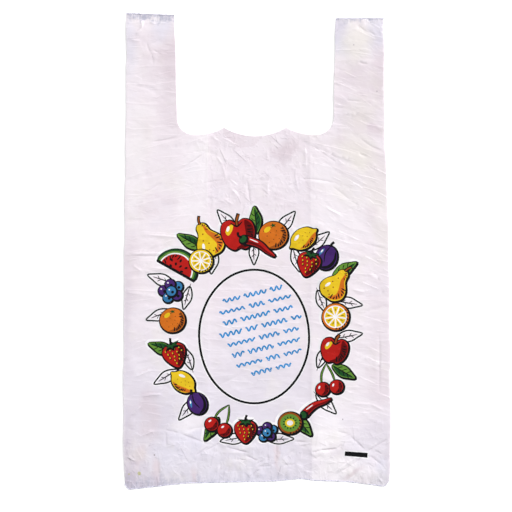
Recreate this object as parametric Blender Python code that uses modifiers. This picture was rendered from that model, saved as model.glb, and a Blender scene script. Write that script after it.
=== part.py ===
"""A flat, empty vest-style carrier bag: one gusseted tube of thin film, die cut and heat sealed.

The bag lies on its back with its front up: X across it, Y from the bottom seal up to the two
handle tops, Z up from the surface it lies on. The origin is the middle of its footprint.
Run it with Blender 4.5: blender --background --python part.py
"""

import math

import bmesh
import bpy

MM = 0.001

# The flat bag
bag_width = 300.0 * MM
bag_length = 550.0 * MM
film_thickness = 0.02 * MM

# The side gussets, each folded in between the front and the back
gusset_depth = 90.0 * MM
ply_gap = 1.2 * MM

# The die cut between the handles
handle_top_width = 56.0 * MM
handle_root_width = 59.0 * MM
neck_depth = 146.0 * MM
neck_corner_radius = 21.0 * MM
peak_offset = 36.0 * MM
peak_rise = 9.0 * MM
mouth_dip = 10.0 * MM

# The heat seals across the bottom and across each handle top
bead_depth = 1.5 * MM
bead_thickness = 0.3 * MM
bead_overhang = 0.15 * MM
sealed_gap = 0.05 * MM
settle_run = 35.0 * MM

# How the front ply drops between the gussets
front_drop = 2.0 * ply_gap
drop_margin = 3.0 * MM
drop_run = 30.0 * MM

# Fineness of the curves
fold_steps = 6
settle_steps = 6
drop_steps = 6
arc_steps = 10
cutter_margin = 20.0 * MM

film_colour = (0.80, 0.76, 0.84, 1.0)
film_roughness = 0.38
film_metallic = 0.0


def clear_scene():
    for old in list(bpy.data.objects):
        bpy.data.objects.remove(old, do_unlink=True)


def new_collection(name):
    group = bpy.data.collections.new(name)
    bpy.context.scene.collection.children.link(group)
    return group


def film_material():
    material = bpy.data.materials.new("translucent_film")
    material.use_nodes = True
    surface = material.node_tree.nodes["Principled BSDF"]
    surface.inputs["Base Color"].default_value = film_colour
    surface.inputs["Roughness"].default_value = film_roughness
    surface.inputs["Metallic"].default_value = film_metallic
    return material


def ease(share):
    """A smooth step from 0 to 1."""
    share = min(max(share, 0.0), 1.0)
    return share * share * (3.0 - 2.0 * share)


def arc(centre_x, centre_y, radius, first, last, steps):
    """Points along a round stretch, its angles in degrees, both ends included."""
    points = []
    for step in range(steps + 1):
        angle = math.radians(first + (last - first) * step / steps)
        points.append((centre_x + radius * math.cos(angle), centre_y + radius * math.sin(angle)))
    return points


def openness(y):
    """How far the plies have parted at y: 0 in a seal, 1 beyond the settling run."""
    from_seal = bag_length / 2 - bead_depth - abs(y)
    return ease(from_seal / settle_run)


def ply_heights(y):
    """The middle heights of the back, the lower gusset, the upper gusset and the front at y."""
    opened = openness(y)
    gap = sealed_gap + (ply_gap - sealed_gap) * opened
    sealed_base = bead_thickness / 2 - 1.5 * sealed_gap
    base = sealed_base + (film_thickness / 2 - sealed_base) * opened
    return [base + ply * gap for ply in range(4)]


def outer_fold(low, high):
    """The half round of film at a side edge, from the lower ply up to the higher one."""
    radius = (high - low) / 2
    edge = bag_width / 2 - bead_overhang - film_thickness / 2
    return arc(edge - radius, (low + high) / 2, radius, -90, 90, fold_steps)


def inner_fold(low, high):
    """The half round of film at a gusset's inner edge, from the lower ply up to the higher one."""
    radius = (high - low) / 2
    edge = bag_width / 2 - gusset_depth + film_thickness / 2
    return arc(edge + radius, (low + high) / 2, radius, 270, 90, fold_steps)


def front_middle(height, y):
    """The front ply's right half between its side fold and the middle, where it drops."""
    start = bag_width / 2 - gusset_depth - drop_margin
    drop = front_drop * openness(y)
    points = []
    for step in range(drop_steps + 1):
        share = step / drop_steps
        points.append((start - drop_run * share, height - drop * ease(share)))
    return points


def section(y):
    """The closed outline of the gusseted tube at y, as (x, z) along the middle of the film."""
    back, lower, upper, front = ply_heights(y)
    right = outer_fold(back, lower) + inner_fold(lower, upper) + outer_fold(upper, front)
    right += front_middle(front, y)
    left = [(-x, z) for x, z in reversed(right)]
    return right + left


def stations():
    """Where along Y the sections stand: close together where the plies part."""
    seal = bag_length / 2 - bead_depth
    half = [seal + bead_depth / 2, seal]
    half += [seal - settle_run * step / settle_steps for step in range(1, settle_steps + 1)]
    return [-y for y in half] + list(reversed(half))


def gusseted_tube():
    """The film as an open surface, lofted through its sections from the bottom to the top."""
    shape = bmesh.new()
    rings = []
    for y in stations():
        rings.append([shape.verts.new((x, y, z)) for x, z in section(y)])
    for near, far in zip(rings, rings[1:]):
        for index in range(len(near)):
            after = (index + 1) % len(near)
            shape.faces.new((near[index], far[index], far[after], near[after]))
    bmesh.ops.recalc_face_normals(shape, faces=shape.faces)
    mesh = bpy.data.meshes.new("bag")
    shape.to_mesh(mesh)
    shape.free()
    return bpy.data.objects.new("bag", mesh)


def neck_outline():
    """The die between the handles, from its open top on the right round to the left."""
    top = bag_length / 2
    base = top - neck_depth
    root = bag_width / 2 - handle_root_width
    mouth = bag_width / 2 - handle_top_width
    side_dip = root - neck_corner_radius
    side_run = side_dip - peak_offset
    side_radius = (side_run**2 + peak_rise**2) / (2 * peak_rise)
    side_turn = math.degrees(math.asin(side_run / side_radius))
    middle_radius = (peak_offset**2 + mouth_dip**2) / (2 * mouth_dip)
    middle_turn = math.degrees(math.asin(peak_offset / middle_radius))
    lowest = base + peak_rise - mouth_dip
    right = [(mouth, top + cutter_margin), (mouth, top)]
    right += arc(side_dip, base + neck_corner_radius, neck_corner_radius, 0, -90, arc_steps)
    right += arc(side_dip, base + side_radius, side_radius, -90, -90 - side_turn, arc_steps)[1:]
    right += arc(0, lowest + middle_radius, middle_radius, -90 + middle_turn, -90, arc_steps)[1:]
    left = [(-x, y) for x, y in reversed(right[:-1])]
    return right + left


def neck_cutter():
    """The neck die as a closed solid that passes through every ply."""
    height = 4 * ply_gap + cutter_margin
    curve = bpy.data.curves.new("neck_cutter", "CURVE")
    curve.dimensions = "2D"
    curve.fill_mode = "BOTH"
    curve.extrude = height / 2
    spline = curve.splines.new("POLY")
    outline = neck_outline()
    spline.points.add(len(outline) - 1)
    for point, (x, y) in zip(spline.points, outline):
        point.co = (x, y, 0.0, 1.0)
    spline.use_cyclic_u = True
    flat = bpy.data.objects.new("neck_cutter_outline", curve)
    bpy.context.scene.collection.objects.link(flat)
    bpy.context.view_layer.update()
    seen = flat.evaluated_get(bpy.context.evaluated_depsgraph_get())
    mesh = bpy.data.meshes.new_from_object(seen)
    shape = bmesh.new()
    shape.from_mesh(mesh)
    bmesh.ops.remove_doubles(shape, verts=shape.verts, dist=0.001 * MM)
    bmesh.ops.recalc_face_normals(shape, faces=shape.faces)
    shape.to_mesh(mesh)
    shape.free()
    cutter = bpy.data.objects.new("neck_cutter", mesh)
    cutter.matrix_world = flat.matrix_world.copy()
    bpy.data.objects.remove(flat, do_unlink=True)
    return cutter


def seal_bead(name, first_x, last_x, middle_y):
    """A welded bead across the plies, a little wider than the film that runs into it."""
    bpy.ops.mesh.primitive_cube_add(size=1.0)
    bead = bpy.context.active_object
    bead.name = name
    bead.scale = (last_x - first_x, bead_depth, bead_thickness)
    bpy.ops.object.transform_apply(location=False, rotation=False, scale=True)
    bead.location = ((first_x + last_x) / 2, middle_y, bead_thickness / 2)
    return bead


def seal_beads():
    edge = bag_width / 2
    handle_edge = edge - handle_top_width - bead_overhang
    row = bag_length / 2 - bead_depth / 2
    return [
        seal_bead("bottom_bead", -edge, edge, -row),
        seal_bead("left_handle_bead", -edge, -handle_edge, row),
        seal_bead("right_handle_bead", handle_edge, edge, row),
    ]


def as_tool(tool, group):
    for owner in list(tool.users_collection):
        owner.objects.unlink(tool)
    group.objects.link(tool)
    tool.hide_render = True
    tool.display_type = "WIRE"


def boolean(target, tool, operation):
    step = target.modifiers.new(tool.name, "BOOLEAN")
    step.operation = operation
    step.solver = "EXACT"
    step.object = tool


def main():
    clear_scene()
    parts = new_collection("carrier_bag")
    tools = new_collection("cutters")
    bag = gusseted_tube()
    parts.objects.link(bag)
    bag.data.materials.append(film_material())
    wall = bag.modifiers.new("film", "SOLIDIFY")
    wall.thickness = film_thickness
    wall.offset = 0.0
    wall.use_even_offset = True
    cutter = neck_cutter()
    as_tool(cutter, tools)
    boolean(bag, cutter, "DIFFERENCE")
    for bead in seal_beads():
        as_tool(bead, tools)
        boolean(bag, bead, "UNION")


main()
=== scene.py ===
"""The looks of a flat vest-style carrier bag: crinkled, welded film with a printed garland of fruit.

Lengths are millimetres until a mesh is made. The film is worked out flat, X across the bag and Y
from the base weld to the handles. It is then shrunk and pulled as the crumpled bag lies.
"""

import math

import bpy
import numpy as np
from bpy.props import FloatProperty, FloatVectorProperty, IntProperty, PointerProperty
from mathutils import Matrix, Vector
from mathutils.geometry import delaunay_2d_cdt


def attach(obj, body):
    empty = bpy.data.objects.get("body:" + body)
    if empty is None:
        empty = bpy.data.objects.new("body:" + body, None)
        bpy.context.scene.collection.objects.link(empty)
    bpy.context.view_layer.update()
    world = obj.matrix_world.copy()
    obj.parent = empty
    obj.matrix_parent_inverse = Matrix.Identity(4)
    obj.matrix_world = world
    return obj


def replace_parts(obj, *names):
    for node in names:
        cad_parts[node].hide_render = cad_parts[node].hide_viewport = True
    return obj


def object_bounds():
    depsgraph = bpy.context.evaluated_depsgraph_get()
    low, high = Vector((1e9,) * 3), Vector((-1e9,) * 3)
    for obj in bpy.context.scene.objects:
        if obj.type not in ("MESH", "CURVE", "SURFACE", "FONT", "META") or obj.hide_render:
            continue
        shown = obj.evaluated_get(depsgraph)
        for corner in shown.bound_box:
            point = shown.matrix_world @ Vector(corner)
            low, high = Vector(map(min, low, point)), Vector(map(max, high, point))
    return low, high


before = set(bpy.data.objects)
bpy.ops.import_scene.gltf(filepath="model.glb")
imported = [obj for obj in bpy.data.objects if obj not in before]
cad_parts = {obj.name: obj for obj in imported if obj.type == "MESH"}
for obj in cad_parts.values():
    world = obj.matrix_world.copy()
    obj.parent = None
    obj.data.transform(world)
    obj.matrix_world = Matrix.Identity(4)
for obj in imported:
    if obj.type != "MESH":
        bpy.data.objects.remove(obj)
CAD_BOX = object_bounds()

bl_info = {
    "name": "Vest Carrier Bag",
    "version": (1, 0, 0),
    "blender": (4, 5, 0),
    "location": "View3D > Sidebar > Carrier Bag",
    "description": "Builds a crinkled, printed film carrier bag around its packed frame",
    "category": "Object",
}

MM = 0.001

# The bag as the frame gives it
HALF_WIDTH = (CAD_BOX[1].x - CAD_BOX[0].x) / 2 / MM
HALF_LENGTH = (CAD_BOX[1].y - CAD_BOX[0].y) / 2 / MM

# The die cut between the handles
HANDLE_TOP_WIDTH = 56.0
HANDLE_ROOT_WIDTH = 59.0
NECK_DEPTH = 146.0
NECK_CORNER = 21.0
PEAK_OFFSET = 36.0
PEAK_RISE = 9.0
MOUTH_DIP = 10.0

# Where each gusset's inner fold lies
LEFT_FOLD_X = -55.0
RIGHT_FOLD_X = 62.0

# The grid on which the crinkles are worked out
CELL = 0.75
GRID_MARGIN = 9.0

# Folds read off the photograph: start, end, height, reach to each side and bend
HANDLE_FOLDS = (
    (-150, 192, -110, 181, -1.5, 3.0, 0), (-148, 188, -114, 179, 0.3, 4.0, 0),
    (-110, 181, -96, 183, -0.4, 3.0, 0),
    (-126, 240, -121, 226, -1.0, 2.0, -1), (-121, 226, -119, 212, -0.8, 2.0, 1),
    (-110, 246, -121, 238, -0.9, 2.2, 1),
    (-119, 231, -109, 225, -0.9, 2.0, 0), (-144, 242, -133, 242, 1.2, 2.4, 0),
    (-132, 268, -132, 256, 1.5, 1.8, 1),
    (-132, 257, -139, 250, 1.6, 2.0, 1), (-142, 232, -127, 235, -0.6, 2.4, 1.5),
    (-128, 247, -118, 249, -0.4, 2.4, 0),
    (-135, 221, -130, 224, -0.5, 1.6, 0), (-135, 195, -120, 203, -0.5, 2.0, 0),
    (-149, 146, -136, 145, -0.6, 2.0, 0),
    (-141, 270, -147, 265, -0.8, 2.2, 0), (-126, 272, -128, 261, -1.2, 1.8, 0),
    (-110, 271, -116, 262, -0.8, 2.2, 0),
    (-123, 267, -113, 264, 1.0, 1.8, -1.5), (-102, 270, -98, 259, -0.6, 2.2, 0),
    (-137, 167, -126, 170, -0.3, 2.4, 0),
    (-102, 178, -94, 175, -0.5, 2.2, 0), (-98, 199, -93, 194, -0.5, 2.0, 0),
    (101, 268, 91, 255, -1.2, 2.2, 0),
    (120, 268, 130, 258, -1.0, 1.8, -1), (130, 258, 140, 252, -0.9, 1.6, 1),
    (131, 257, 143, 248, 0.4, 1.8, 0),
    (119, 267, 123, 261, -0.8, 2.0, 0), (112, 259, 103, 252, -0.6, 2.4, 0), (101, 241, 111, 247, 0.6, 2.6, 0),
    (103, 214, 120, 217, -0.6, 1.8, 1), (120, 217, 131, 214, -1.0, 1.4, -1),
    (91, 211, 105, 204, -0.8, 1.8, 0),
    (107, 210, 117, 204, -0.4, 2.4, 0), (129, 210, 139, 203, -0.4, 2.4, 0),
    (90, 190, 98, 187, -0.8, 1.8, 0.5),
    (111, 188, 120, 181, -0.4, 2.6, 0), (120, 180, 131, 173, -0.5, 2.6, -1.5),
    (106, 170, 122, 169, -1.0, 1.8, 0),
    (136, 172, 150, 174, -1.3, 1.8, 0), (91, 162, 103, 161, -1.1, 1.6, 0), (92, 167, 101, 168, -0.4, 2.0, 0),
)
SHOULDER_FOLDS = (
    (-90, 141, -101, 143, -0.8, 2.2, 0), (-101, 143, -128, 144, -0.5, 2.4, 1),
    (-89, 138, -99, 134, -0.8, 2.2, 0),
    (-99, 134, -123, 134, -0.4, 2.2, 0), (-82, 135, -92, 128, 1.0, 1.8, 0),
    (-81, 132, -90, 127, -0.9, 1.8, 0),
    (-89, 127, -121, 121, -1.6, 2.4, 1), (-93, 124, -118, 119, 0.4, 2.4, 1),
    (-108, 118, -120, 114, -0.4, 2.6, 0),
    (-70, 109, -90, 103, -0.7, 2.4, 1), (-55, 110, -101, 79, -1.5, 2.4, 0), (-58, 109, -76, 97, 0.9, 2.0, 0),
    (-52, 108, -70, 97, 1.0, 2.0, 0), (-108, 73, -130, 60, -1.5, 2.4, 0), (-128, 52, -141, 44, -1.0, 2.2, 0),
    (-127, 49, -140, 41, 0.8, 2.2, 0), (-150, 76, -136, 79, -0.9, 2.2, 0), (-129, 79, -120, 82, -0.9, 1.8, 0),
    (-134, 83, -124, 87, -0.5, 2.2, 0), (-84, 80, -95, 67, -0.9, 3.0, 0), (-108, 66, -92, 66, -0.7, 2.4, 0),
    (-40, 77, -61, 72, -1.2, 2.0, 0), (-61, 72, -91, 65, -1.0, 2.4, -1), (-56, 76, -80, 71, 0.9, 3.0, 0),
    (-78, 68, -92, 63, 0.7, 2.4, 0), (-78, 48, -90, 46, -0.9, 2.2, 0), (-90, 50, -111, 46, -0.5, 3.0, 0),
    (-71, 55, -80, 52, -0.4, 2.0, 0), (-80, 40, -100, 25, 1.2, 1.6, 0), (-116, 58, -131, 53, -0.6, 2.6, 1),
    (-117, 58, -110, 54, -0.6, 2.4, 0), (-150, 30, -126, 29, -1.0, 2.2, 0), (-127, 99, -117, 95, 0.7, 2.4, 0),
    (-75, 129, -65, 121, 0.7, 1.8, 0), (-70, 127, -60, 121, 0.7, 1.8, 0), (-53, 131, -43, 126, 1.1, 1.6, 0),
    (111, 134, 121, 126, -0.9, 2.8, -1), (121, 126, 148, 110, -1.4, 2.4, -2),
    (69, 125, 79, 130, -0.8, 2.0, 0),
    (79, 130, 90, 128, -0.7, 2.0, 0), (82, 117, 91, 111, -0.8, 2.0, 0), (61, 117, 71, 110, -1.0, 1.8, 0),
    (66, 117, 92, 97, -1.2, 1.8, 0), (74, 117, 94, 101, -0.9, 1.8, 0), (70, 110, 89, 96, -0.7, 1.8, 0),
    (74, 97, 100, 91, -0.6, 2.4, 0), (86, 90, 102, 82, -0.8, 2.0, 0), (64, 104, 75, 102, -0.6, 2.0, 0),
    (48, 78, 93, 72, -1.4, 2.2, 1.5), (50, 75, 88, 70, 1.0, 2.4, 1.5), (93, 72, 111, 65, -1.1, 2.2, 0),
    (87, 69, 109, 51, -1.3, 2.4, 0.5), (108, 51, 117, 47, -1.2, 2.0, 0), (113, 46, 118, 44, -1.0, 1.4, 0),
    (78, 45, 99, 33, 1.3, 2.0, 0), (61, 56, 71, 55, 0.9, 1.4, 0), (68, 26, 87, 22, 0.6, 2.4, 0),
    (61, 15, 80, 8, 0.9, 2.2, 0), (90, 19, 102, 5, 1.0, 2.6, 0), (101, 7, 109, 6, -0.9, 1.6, 0),
    (71, 5, 101, 3, -0.5, 2.2, 0), (66, -1, 103, 1, 1.0, 2.6, 0), (112, 77, 139, 56, -0.8, 4.0, 0),
    (138, 51, 147, 41, -0.8, 2.4, 0), (131, 36, 147, 27, 0.6, 2.4, 0), (106, 34, 130, 19, -0.5, 4.0, 0),
    (108, 112, 119, 107, -0.5, 3.0, 0), (119, 107, 129, 103, -1.3, 2.0, 0), (124, 89, 139, 89, -1.0, 1.8, 1),
    (132, 98, 141, 89, 0.8, 2.0, 0), (112, 150, 129, 143, -0.7, 4.0, 0), (104, 156, 119, 143, -0.8, 3.0, 0),
    (119, 150, 136, 140, -0.8, 3.0, 0), (138, 144, 149, 139, -1.0, 2.4, 0),
    (126, 128, 148, 128, -0.6, 2.6, 0),
    (128, 140, 148, 132, -0.6, 3.0, 0), (97, 147, 101, 120, -0.6, 3.0, 3), (121, 2, 147, -4, -1.2, 2.6, 0),
)
MOUTH_FOLDS = (
    (-41, 128, -44, 110, 1.1, 1.8, 0), (-45, 106, -38, 96, 1.3, 1.8, 0), (-38, 96, -34, 79, 1.2, 1.8, 0),
    (-33, 90, -29, 76, 0.9, 1.6, 0), (-30, 77, -28, 67, 1.1, 1.8, 0), (-28, 67, -19, 58, 1.3, 2.2, 0),
    (-37, 55, -26, 48, 1.2, 2.0, 0), (-38, 58, -21, 56, -0.6, 3.0, 0), (-10, 80, -6, 44, -1.5, 1.8, 0),
    (-1, 113, -8, 105, -1.1, 1.8, 0), (-4, 116, -11, 104, 0.8, 2.0, 0), (-14, 106, -18, 90, 0.6, 2.2, 0),
    (14, 111, 14, 100, 1.2, 1.8, 0), (14, 75, 13, 54, 1.4, 2.2, 0), (15, 93, 7, 83, 0.9, 1.6, 0),
    (12, 95, 4, 84, -0.9, 1.6, 0), (1, 78, 20, 79, -0.9, 2.2, -1.5), (3, 66, 11, 63, -0.8, 1.8, 0),
    (3, 71, 12, 70, -0.6, 1.8, 0), (20, 66, 28, 59, 1.1, 1.8, 0), (47, 107, 34, 91, 1.2, 2.4, 0),
    (48, 106, 34, 94, -1.0, 2.4, 0), (41, 96, 45, 83, 1.1, 1.8, 0), (45, 83, 49, 62, 1.2, 1.8, 0),
    (38, 76, 38, 62, 1.0, 2.2, 0), (44, 75, 44, 66, -0.8, 1.6, 0), (58, 119, 58, 88, 1.3, 2.2, 0),
    (47, 39, 45, 9, -0.9, 2.2, 0), (42, 5, 47, 11, 1.0, 1.6, 0), (31, 129, 42, 130, 0.9, 1.6, 0),
    (30, 132, 41, 132, -0.7, 1.6, 0), (20, 96, 33, 93, -0.6, 3.0, 0), (35, 112, 48, 110, -0.4, 3.0, 0),
    (-28, 102, -18, 97, 0.7, 3.4, 0), (53, 74, 65, 62, -0.5, 2.4, 0), (54, 52, 62, 51, 0.7, 1.6, 0),
)
BODY_FOLDS = (
    (-131, 13, -50, 6, 1.4, 2.6, 0), (-134, 9, -100, 8, -0.6, 2.4, 0), (-150, -9, -60, -10, 1.2, 2.6, 0),
    (-150, -12, -75, -13, -0.9, 2.0, 0), (-150, -2, -141, -1, -0.6, 2.0, 0),
    (-127, -9, -111, -1, -0.7, 2.6, 1),
    (-111, -1, -94, -1, -0.7, 2.2, 0), (-128, -26, -112, -10, -0.7, 2.4, 0),
    (-140, -23, -130, -30, 0.9, 1.8, 0),
    (-122, -26, -86, -28, 1.0, 2.4, 0), (-150, -53, -107, -60, 1.4, 2.2, 0),
    (-141, -82, -121, -67, 0.6, 2.4, 0),
    (-147, -44, -138, -36, 0.6, 2.6, 0), (-140, -129, -129, -120, -0.7, 2.2, 0),
    (-145, -108, -132, -100, -0.4, 2.4, 0),
    (108, -24, 126, -23, -0.7, 2.4, 0), (130, -32, 140, -40, -0.7, 1.8, 0), (122, -29, 143, -41, 0.6, 2.0, 0),
    (139, -51, 145, -57, -0.7, 1.6, 0), (108, -54, 128, -56, -0.7, 2.2, -1),
    (108, -51, 122, -54, 0.8, 2.2, 0),
    (116, -77, 150, -69, -1.5, 2.2, 0), (109, -97, 138, -98, -0.4, 2.4, 0),
    (107, -121, 150, -143, 1.1, 1.8, 0),
    (138, -100, 138, -170, -1.3, 1.6, 0), (97, -151, 135, -152, -0.6, 2.6, 0), (68, -4, 88, -2, -0.7, 2.4, 0),
    (90, -163, 109, -169, 0.8, 2.2, 0), (105, -180, 128, -181, 0.8, 2.0, 0),
    (128, -181, 142, -188, 0.9, 2.0, 0),
    (117, -189, 137, -203, 0.7, 2.0, 0),
)
BASE_FOLDS = (
    (-138, -151, -118, -142, 0.9, 2.4, 0), (-131, -173, -106, -170, 1.0, 2.2, 1),
    (-129, -186, -139, -199, -1.4, 2.2, 0),
    (-130, -182, -142, -194, 0.9, 2.6, 0), (-130, -217, -115, -210, 0.8, 2.0, 0),
    (-146, -241, -137, -246, -0.9, 2.0, 0),
    (-146, -239, -137, -244, 0.8, 2.0, 0), (-103, -210, -88, -213, -0.7, 2.2, 0),
    (-88, -213, -52, -227, -0.9, 2.2, 0),
    (-81, -210, -52, -205, -0.5, 2.6, 0), (-53, -228, -70, -242, -0.9, 2.2, 0),
    (-102, -212, -102, -227, -0.5, 1.6, 0),
    (-88, -234, -83, -227, 0.6, 2.4, 1), (-61, -257, -50, -254, -0.7, 1.8, 0),
    (-112, -240, -110, -271, -0.5, 2.4, 0),
    (-67, -249, -68, -270, -0.7, 2.2, 0), (-45, -160, -19, -147, -0.7, 2.8, -1),
    (-35, -230, -8, -238, -1.0, 2.8, 0),
    (-60, -236, -40, -224, -0.8, 2.6, 0), (-25, -247, -12, -247, -0.6, 1.8, 0),
    (-13, -241, 1, -249, -0.7, 1.8, 0),
    (7, -248, 0, -254, -0.9, 2.0, 0), (13, -242, 12, -250, -0.8, 1.8, 0), (2, -257, 17, -256, -0.9, 1.6, 0),
    (17, -256, 22, -250, -0.8, 1.6, 0), (24, -198, 22, -218, -0.6, 2.0, 0),
    (22, -218, 22, -252, -0.7, 2.6, 0),
    (42, -234, 31, -245, -0.8, 2.2, 0), (42, -223, 56, -224, -0.7, 2.2, 0),
    (48, -230, 56, -229, -0.5, 1.8, 0),
    (30, -256, 45, -256, -0.6, 1.8, 0), (56, -267, 67, -257, -1.0, 2.4, 0), (-5, -268, 1, -261, -0.9, 1.8, 0),
    (8, -267, 12, -260, -0.8, 1.6, 0), (-38, -266, -33, -257, 0.7, 1.8, 0),
    (-46, -265, -42, -254, 0.7, 2.0, 0),
    (63, -238, 71, -235, -0.8, 1.8, 0), (70, -235, 91, -232, -1.4, 2.0, 0),
    (90, -232, 96, -227, -0.9, 2.2, 0),
    (92, -224, 109, -224, -0.5, 2.2, 0), (73, -241, 63, -248, -0.8, 2.6, 0),
    (117, -244, 106, -254, -1.4, 3.0, 0),
    (107, -253, 86, -271, -1.8, 2.4, 0), (112, -243, 84, -268, 0.8, 3.0, 0),
    (83, -263, 74, -271, -0.9, 2.2, 0),
    (67, -261, 57, -267, -0.8, 2.2, 0), (123, -236, 148, -219, -1.2, 2.2, 0),
    (127, -240, 142, -252, -0.9, 2.4, 0),
    (132, -234, 142, -238, -0.5, 2.0, 0), (89, -211, 105, -215, -0.6, 3.0, 0),
    (104, -215, 122, -234, -0.6, 3.0, 0),
    (138, -266, 140, -271, 1.6, 1.4, 0),
)

# Soft patches of colour: place, half sizes, turn in degrees and strength. The cool and cream patches are
# tints of the film; the dull patches are painted shade, the pale ones painted light, and the violet ones dirt
# in the base's corners with painted shade along the lower edges and folds
PATCHES = {
    "Cool": (
        (-148, 236, 14, 52, 0, 0.7), (140, 246, 20, 36, 0, 0.85), (95, 248, 24, 36, 0, 1.0),
        (-110, 254, 22, 26, 0, 0.7), (-74, -214, 34, 30, 0, 0.5), (125, -225, 44, 38, 10, 0.35),
        (-98, -236, 30, 26, 20, 0.45), (-20, -262, 80, 16, 0, 0.4), (140, -256, 18, 30, 0, 0.8),
    ),
    "Cream": (
        (117, 234, 27, 38, 0, 0.85), (119, 150, 30, 32, 10, 0.85), (117, 108, 30, 44, 25, 0.85),
        (138, 62, 24, 66, 5, 0.45), (-138, 58, 24, 60, 0, 0.15), (-134, 122, 22, 60, -12, 0.3),
        (145, 8, 16, 46, 0, 0.4), (107, 62, 30, 30, 0, 0.4),
    ),
    # Painted light: brighter film on bulges and towards the lower right, laid only over the gussets
    "PaintedLight": (
        (80, -208, 34, 26, -25, 1.0), (94, -248, 42, 22, -10, 1.0), (74, -230, 24, 20, 0, 1.0),
        (84, -256, 36, 24, 0, 0.9),
        (84, -170, 40, 50, 0, 0.5), (-64, 98, 24, 66, -20, 0.6), (-70, 55, 28, 46, 0, 0.5),
        (94, 30, 44, 56, 0, 0.45), (78, 72, 28, 46, 0, 0.4), (-140, 54, 14, 30, 0, 0.5),
        (-140, 105, 20, 100, 0, 0.45), (-72, -200, 32, 12, 15, 0.7), (-119, -244, 8, 22, -20, 0.2),
    ),
    # Painted shade: darker film in hollows, beside folds and where the plies lie apart
    "PaintedShade": (
        (-97, 210, 24, 56, 0, 1.0), (-113, 214, 34, 34, 0, 0.5), (-97, 158, 26, 50, 0, 0.5),
        (120, 192, 46, 44, 0, 0.6), (142, 190, 22, 50, 0, 0.9), (-124, 236, 40, 22, 0, 0.3),
        (119, 160, 52, 70, 0, 0.4), (138, 134, 18, 11, 0, 1.0), (137, 129, 22, 18, 0, 0.6),
        (-112, 48, 34, 22, 10, 0.35), (-99, 72, 9, 6, 0, 0.4), (36, 112, 28, 16, 35, 1.0),
        (-97, 127, 24, 26, 0, 0.35), (138, -156, 26, 40, 0, 0.5), (-132, -222, 26, 24, 30, 0.35),
        (26, 105, 18, 12, -5, 0.9), (32, 96, 8, 5, 0, 0.5), (-120, -194, 17, 42, 0, 0.9),
        (-132, -240, 10, 28, -25, 1.0), (-136, -200, 18, 60, 8, 0.25), (142, -90, 24, 120, 0, 0.3),
        (97, 132, 7, 20, 10, 0.5), (22, -238, 6, 24, 0, 1.0), (24, -212, 4, 22, 0, 0.7),
        (-111, -256, 7, 26, 0, 1.0), (-68, -260, 4, 18, 0, 0.9), (-145, -30, 22, 76, 0, 0.4),
        (142, 96, 22, 40, 0, 0.3), (130, 38, 16, 14, -20, 0.5), (105, -254, 5, 20, -50, 0.9),
    ),
    # Dirt in the corners of the base, and painted shade along the lower edges and folds
    "DirtAndShade": (
        (-148, -232, 18, 74, 0, 0.6), (-142, -262, 24, 28, 0, 0.85), (-120, -268, 26, 14, 0, 0.8),
        (-150, -90, 16, 130, 0, 0.35), (-118, -190, 42, 60, 10, 0.3), (150, -250, 8, 60, 0, 0.35),
        (132, -214, 30, 26, 10, 0.25), (-144, -244, 18, 22, 0, 1.0),
        (96, 252, 18, 22, 0, 0.35), (139, 244, 18, 26, 0, 0.25), (-126, -254, 12, 16, 0, 0.6),
    ),
}

# Broad swells of the film: middle, half sizes, turn in degrees and height
SWELLS = (
    (-112, 110, 30, 60, -30, 1.0),
    (108, 95, 28, 60, 35, 1.1),
    (0, 70, 50, 26, 0, 0.8),
    (-20, -60, 60, 90, 10, 0.6),
    (95, -40, 40, 70, 0, 0.7),
    (-105, -60, 30, 90, 0, 0.6),
    (78, -205, 34, 26, -15, 1.2),
    (-95, -232, 26, 18, 20, 1.0),
    (-124, 215, 16, 40, 0, 0.5),
    (121, 225, 16, 34, 0, 0.7),
    (10, -225, 40, 20, 0, 0.7),
)

# How far the crumpled hem has risen above its lowest corners: place across, rise
HEM_RISE = (
    (-150, 8), (-149, 3), (-148, 0), (-146, -1), (-120, 1.7), (-100, 4), (-80, 6), (-40, 7), (20, 8.3),
    (50, 11.2), (65, 9), (100, 7.9), (120, 5.8), (145, 2.2), (147, 4), (149, 8), (150, 12),
)
HEM_REACH = 60.0

# How far the sides lie from the middle at each height: place along, left side, right side
SIDE_LINES = (
    (-275, -146.6, 148.2), (-200, -148.6, 150.3), (0, -149.6, 150.6), (60, -149.8, 149.6),
    (120, -149.8, 147.6), (210, -150.2, 147.8), (275, -151.2, 148.4),
)
LENGTH_SHARE = 0.9884
LEFT_HANDLE_SLANT = 2.3
RIGHT_HANDLE_DROP = 6.2
HANDLE_REACH = 70.0

# The lip of the front, pulled down between the peaks: place across, depth
LIP_PULL = (
    (-60, 0), (-53, 0), (-44, 5), (-39, 6), (-33, 10), (-27, 12), (-21, 19), (-17, 19), (-2, 16), (4, 8),
    (9, 1.5), (14, 0), (60, 0),
)
LIP_REACH = 34.0


def smooth(share):
    """A smooth step from 0 to 1, for numbers or arrays."""
    share = np.clip(share, 0.0, 1.0)
    return share * share * (3.0 - 2.0 * share)


def through(places, values, at, spread=3.0):
    """A curve through a few places, softened between them."""
    total = np.zeros_like(at, dtype=float)
    for shift in (-1.0, -0.5, 0.0, 0.5, 1.0):
        total += np.interp(at + shift * spread, places, values)
    return total / 5.0


def arc(centre_x, centre_y, radius, first, last, steps):
    """Points along a round stretch, its angles in degrees, both ends included."""
    turns = np.radians(np.linspace(first, last, steps + 1))
    return [(centre_x + radius * math.cos(t), centre_y + radius * math.sin(t)) for t in turns]


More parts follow.
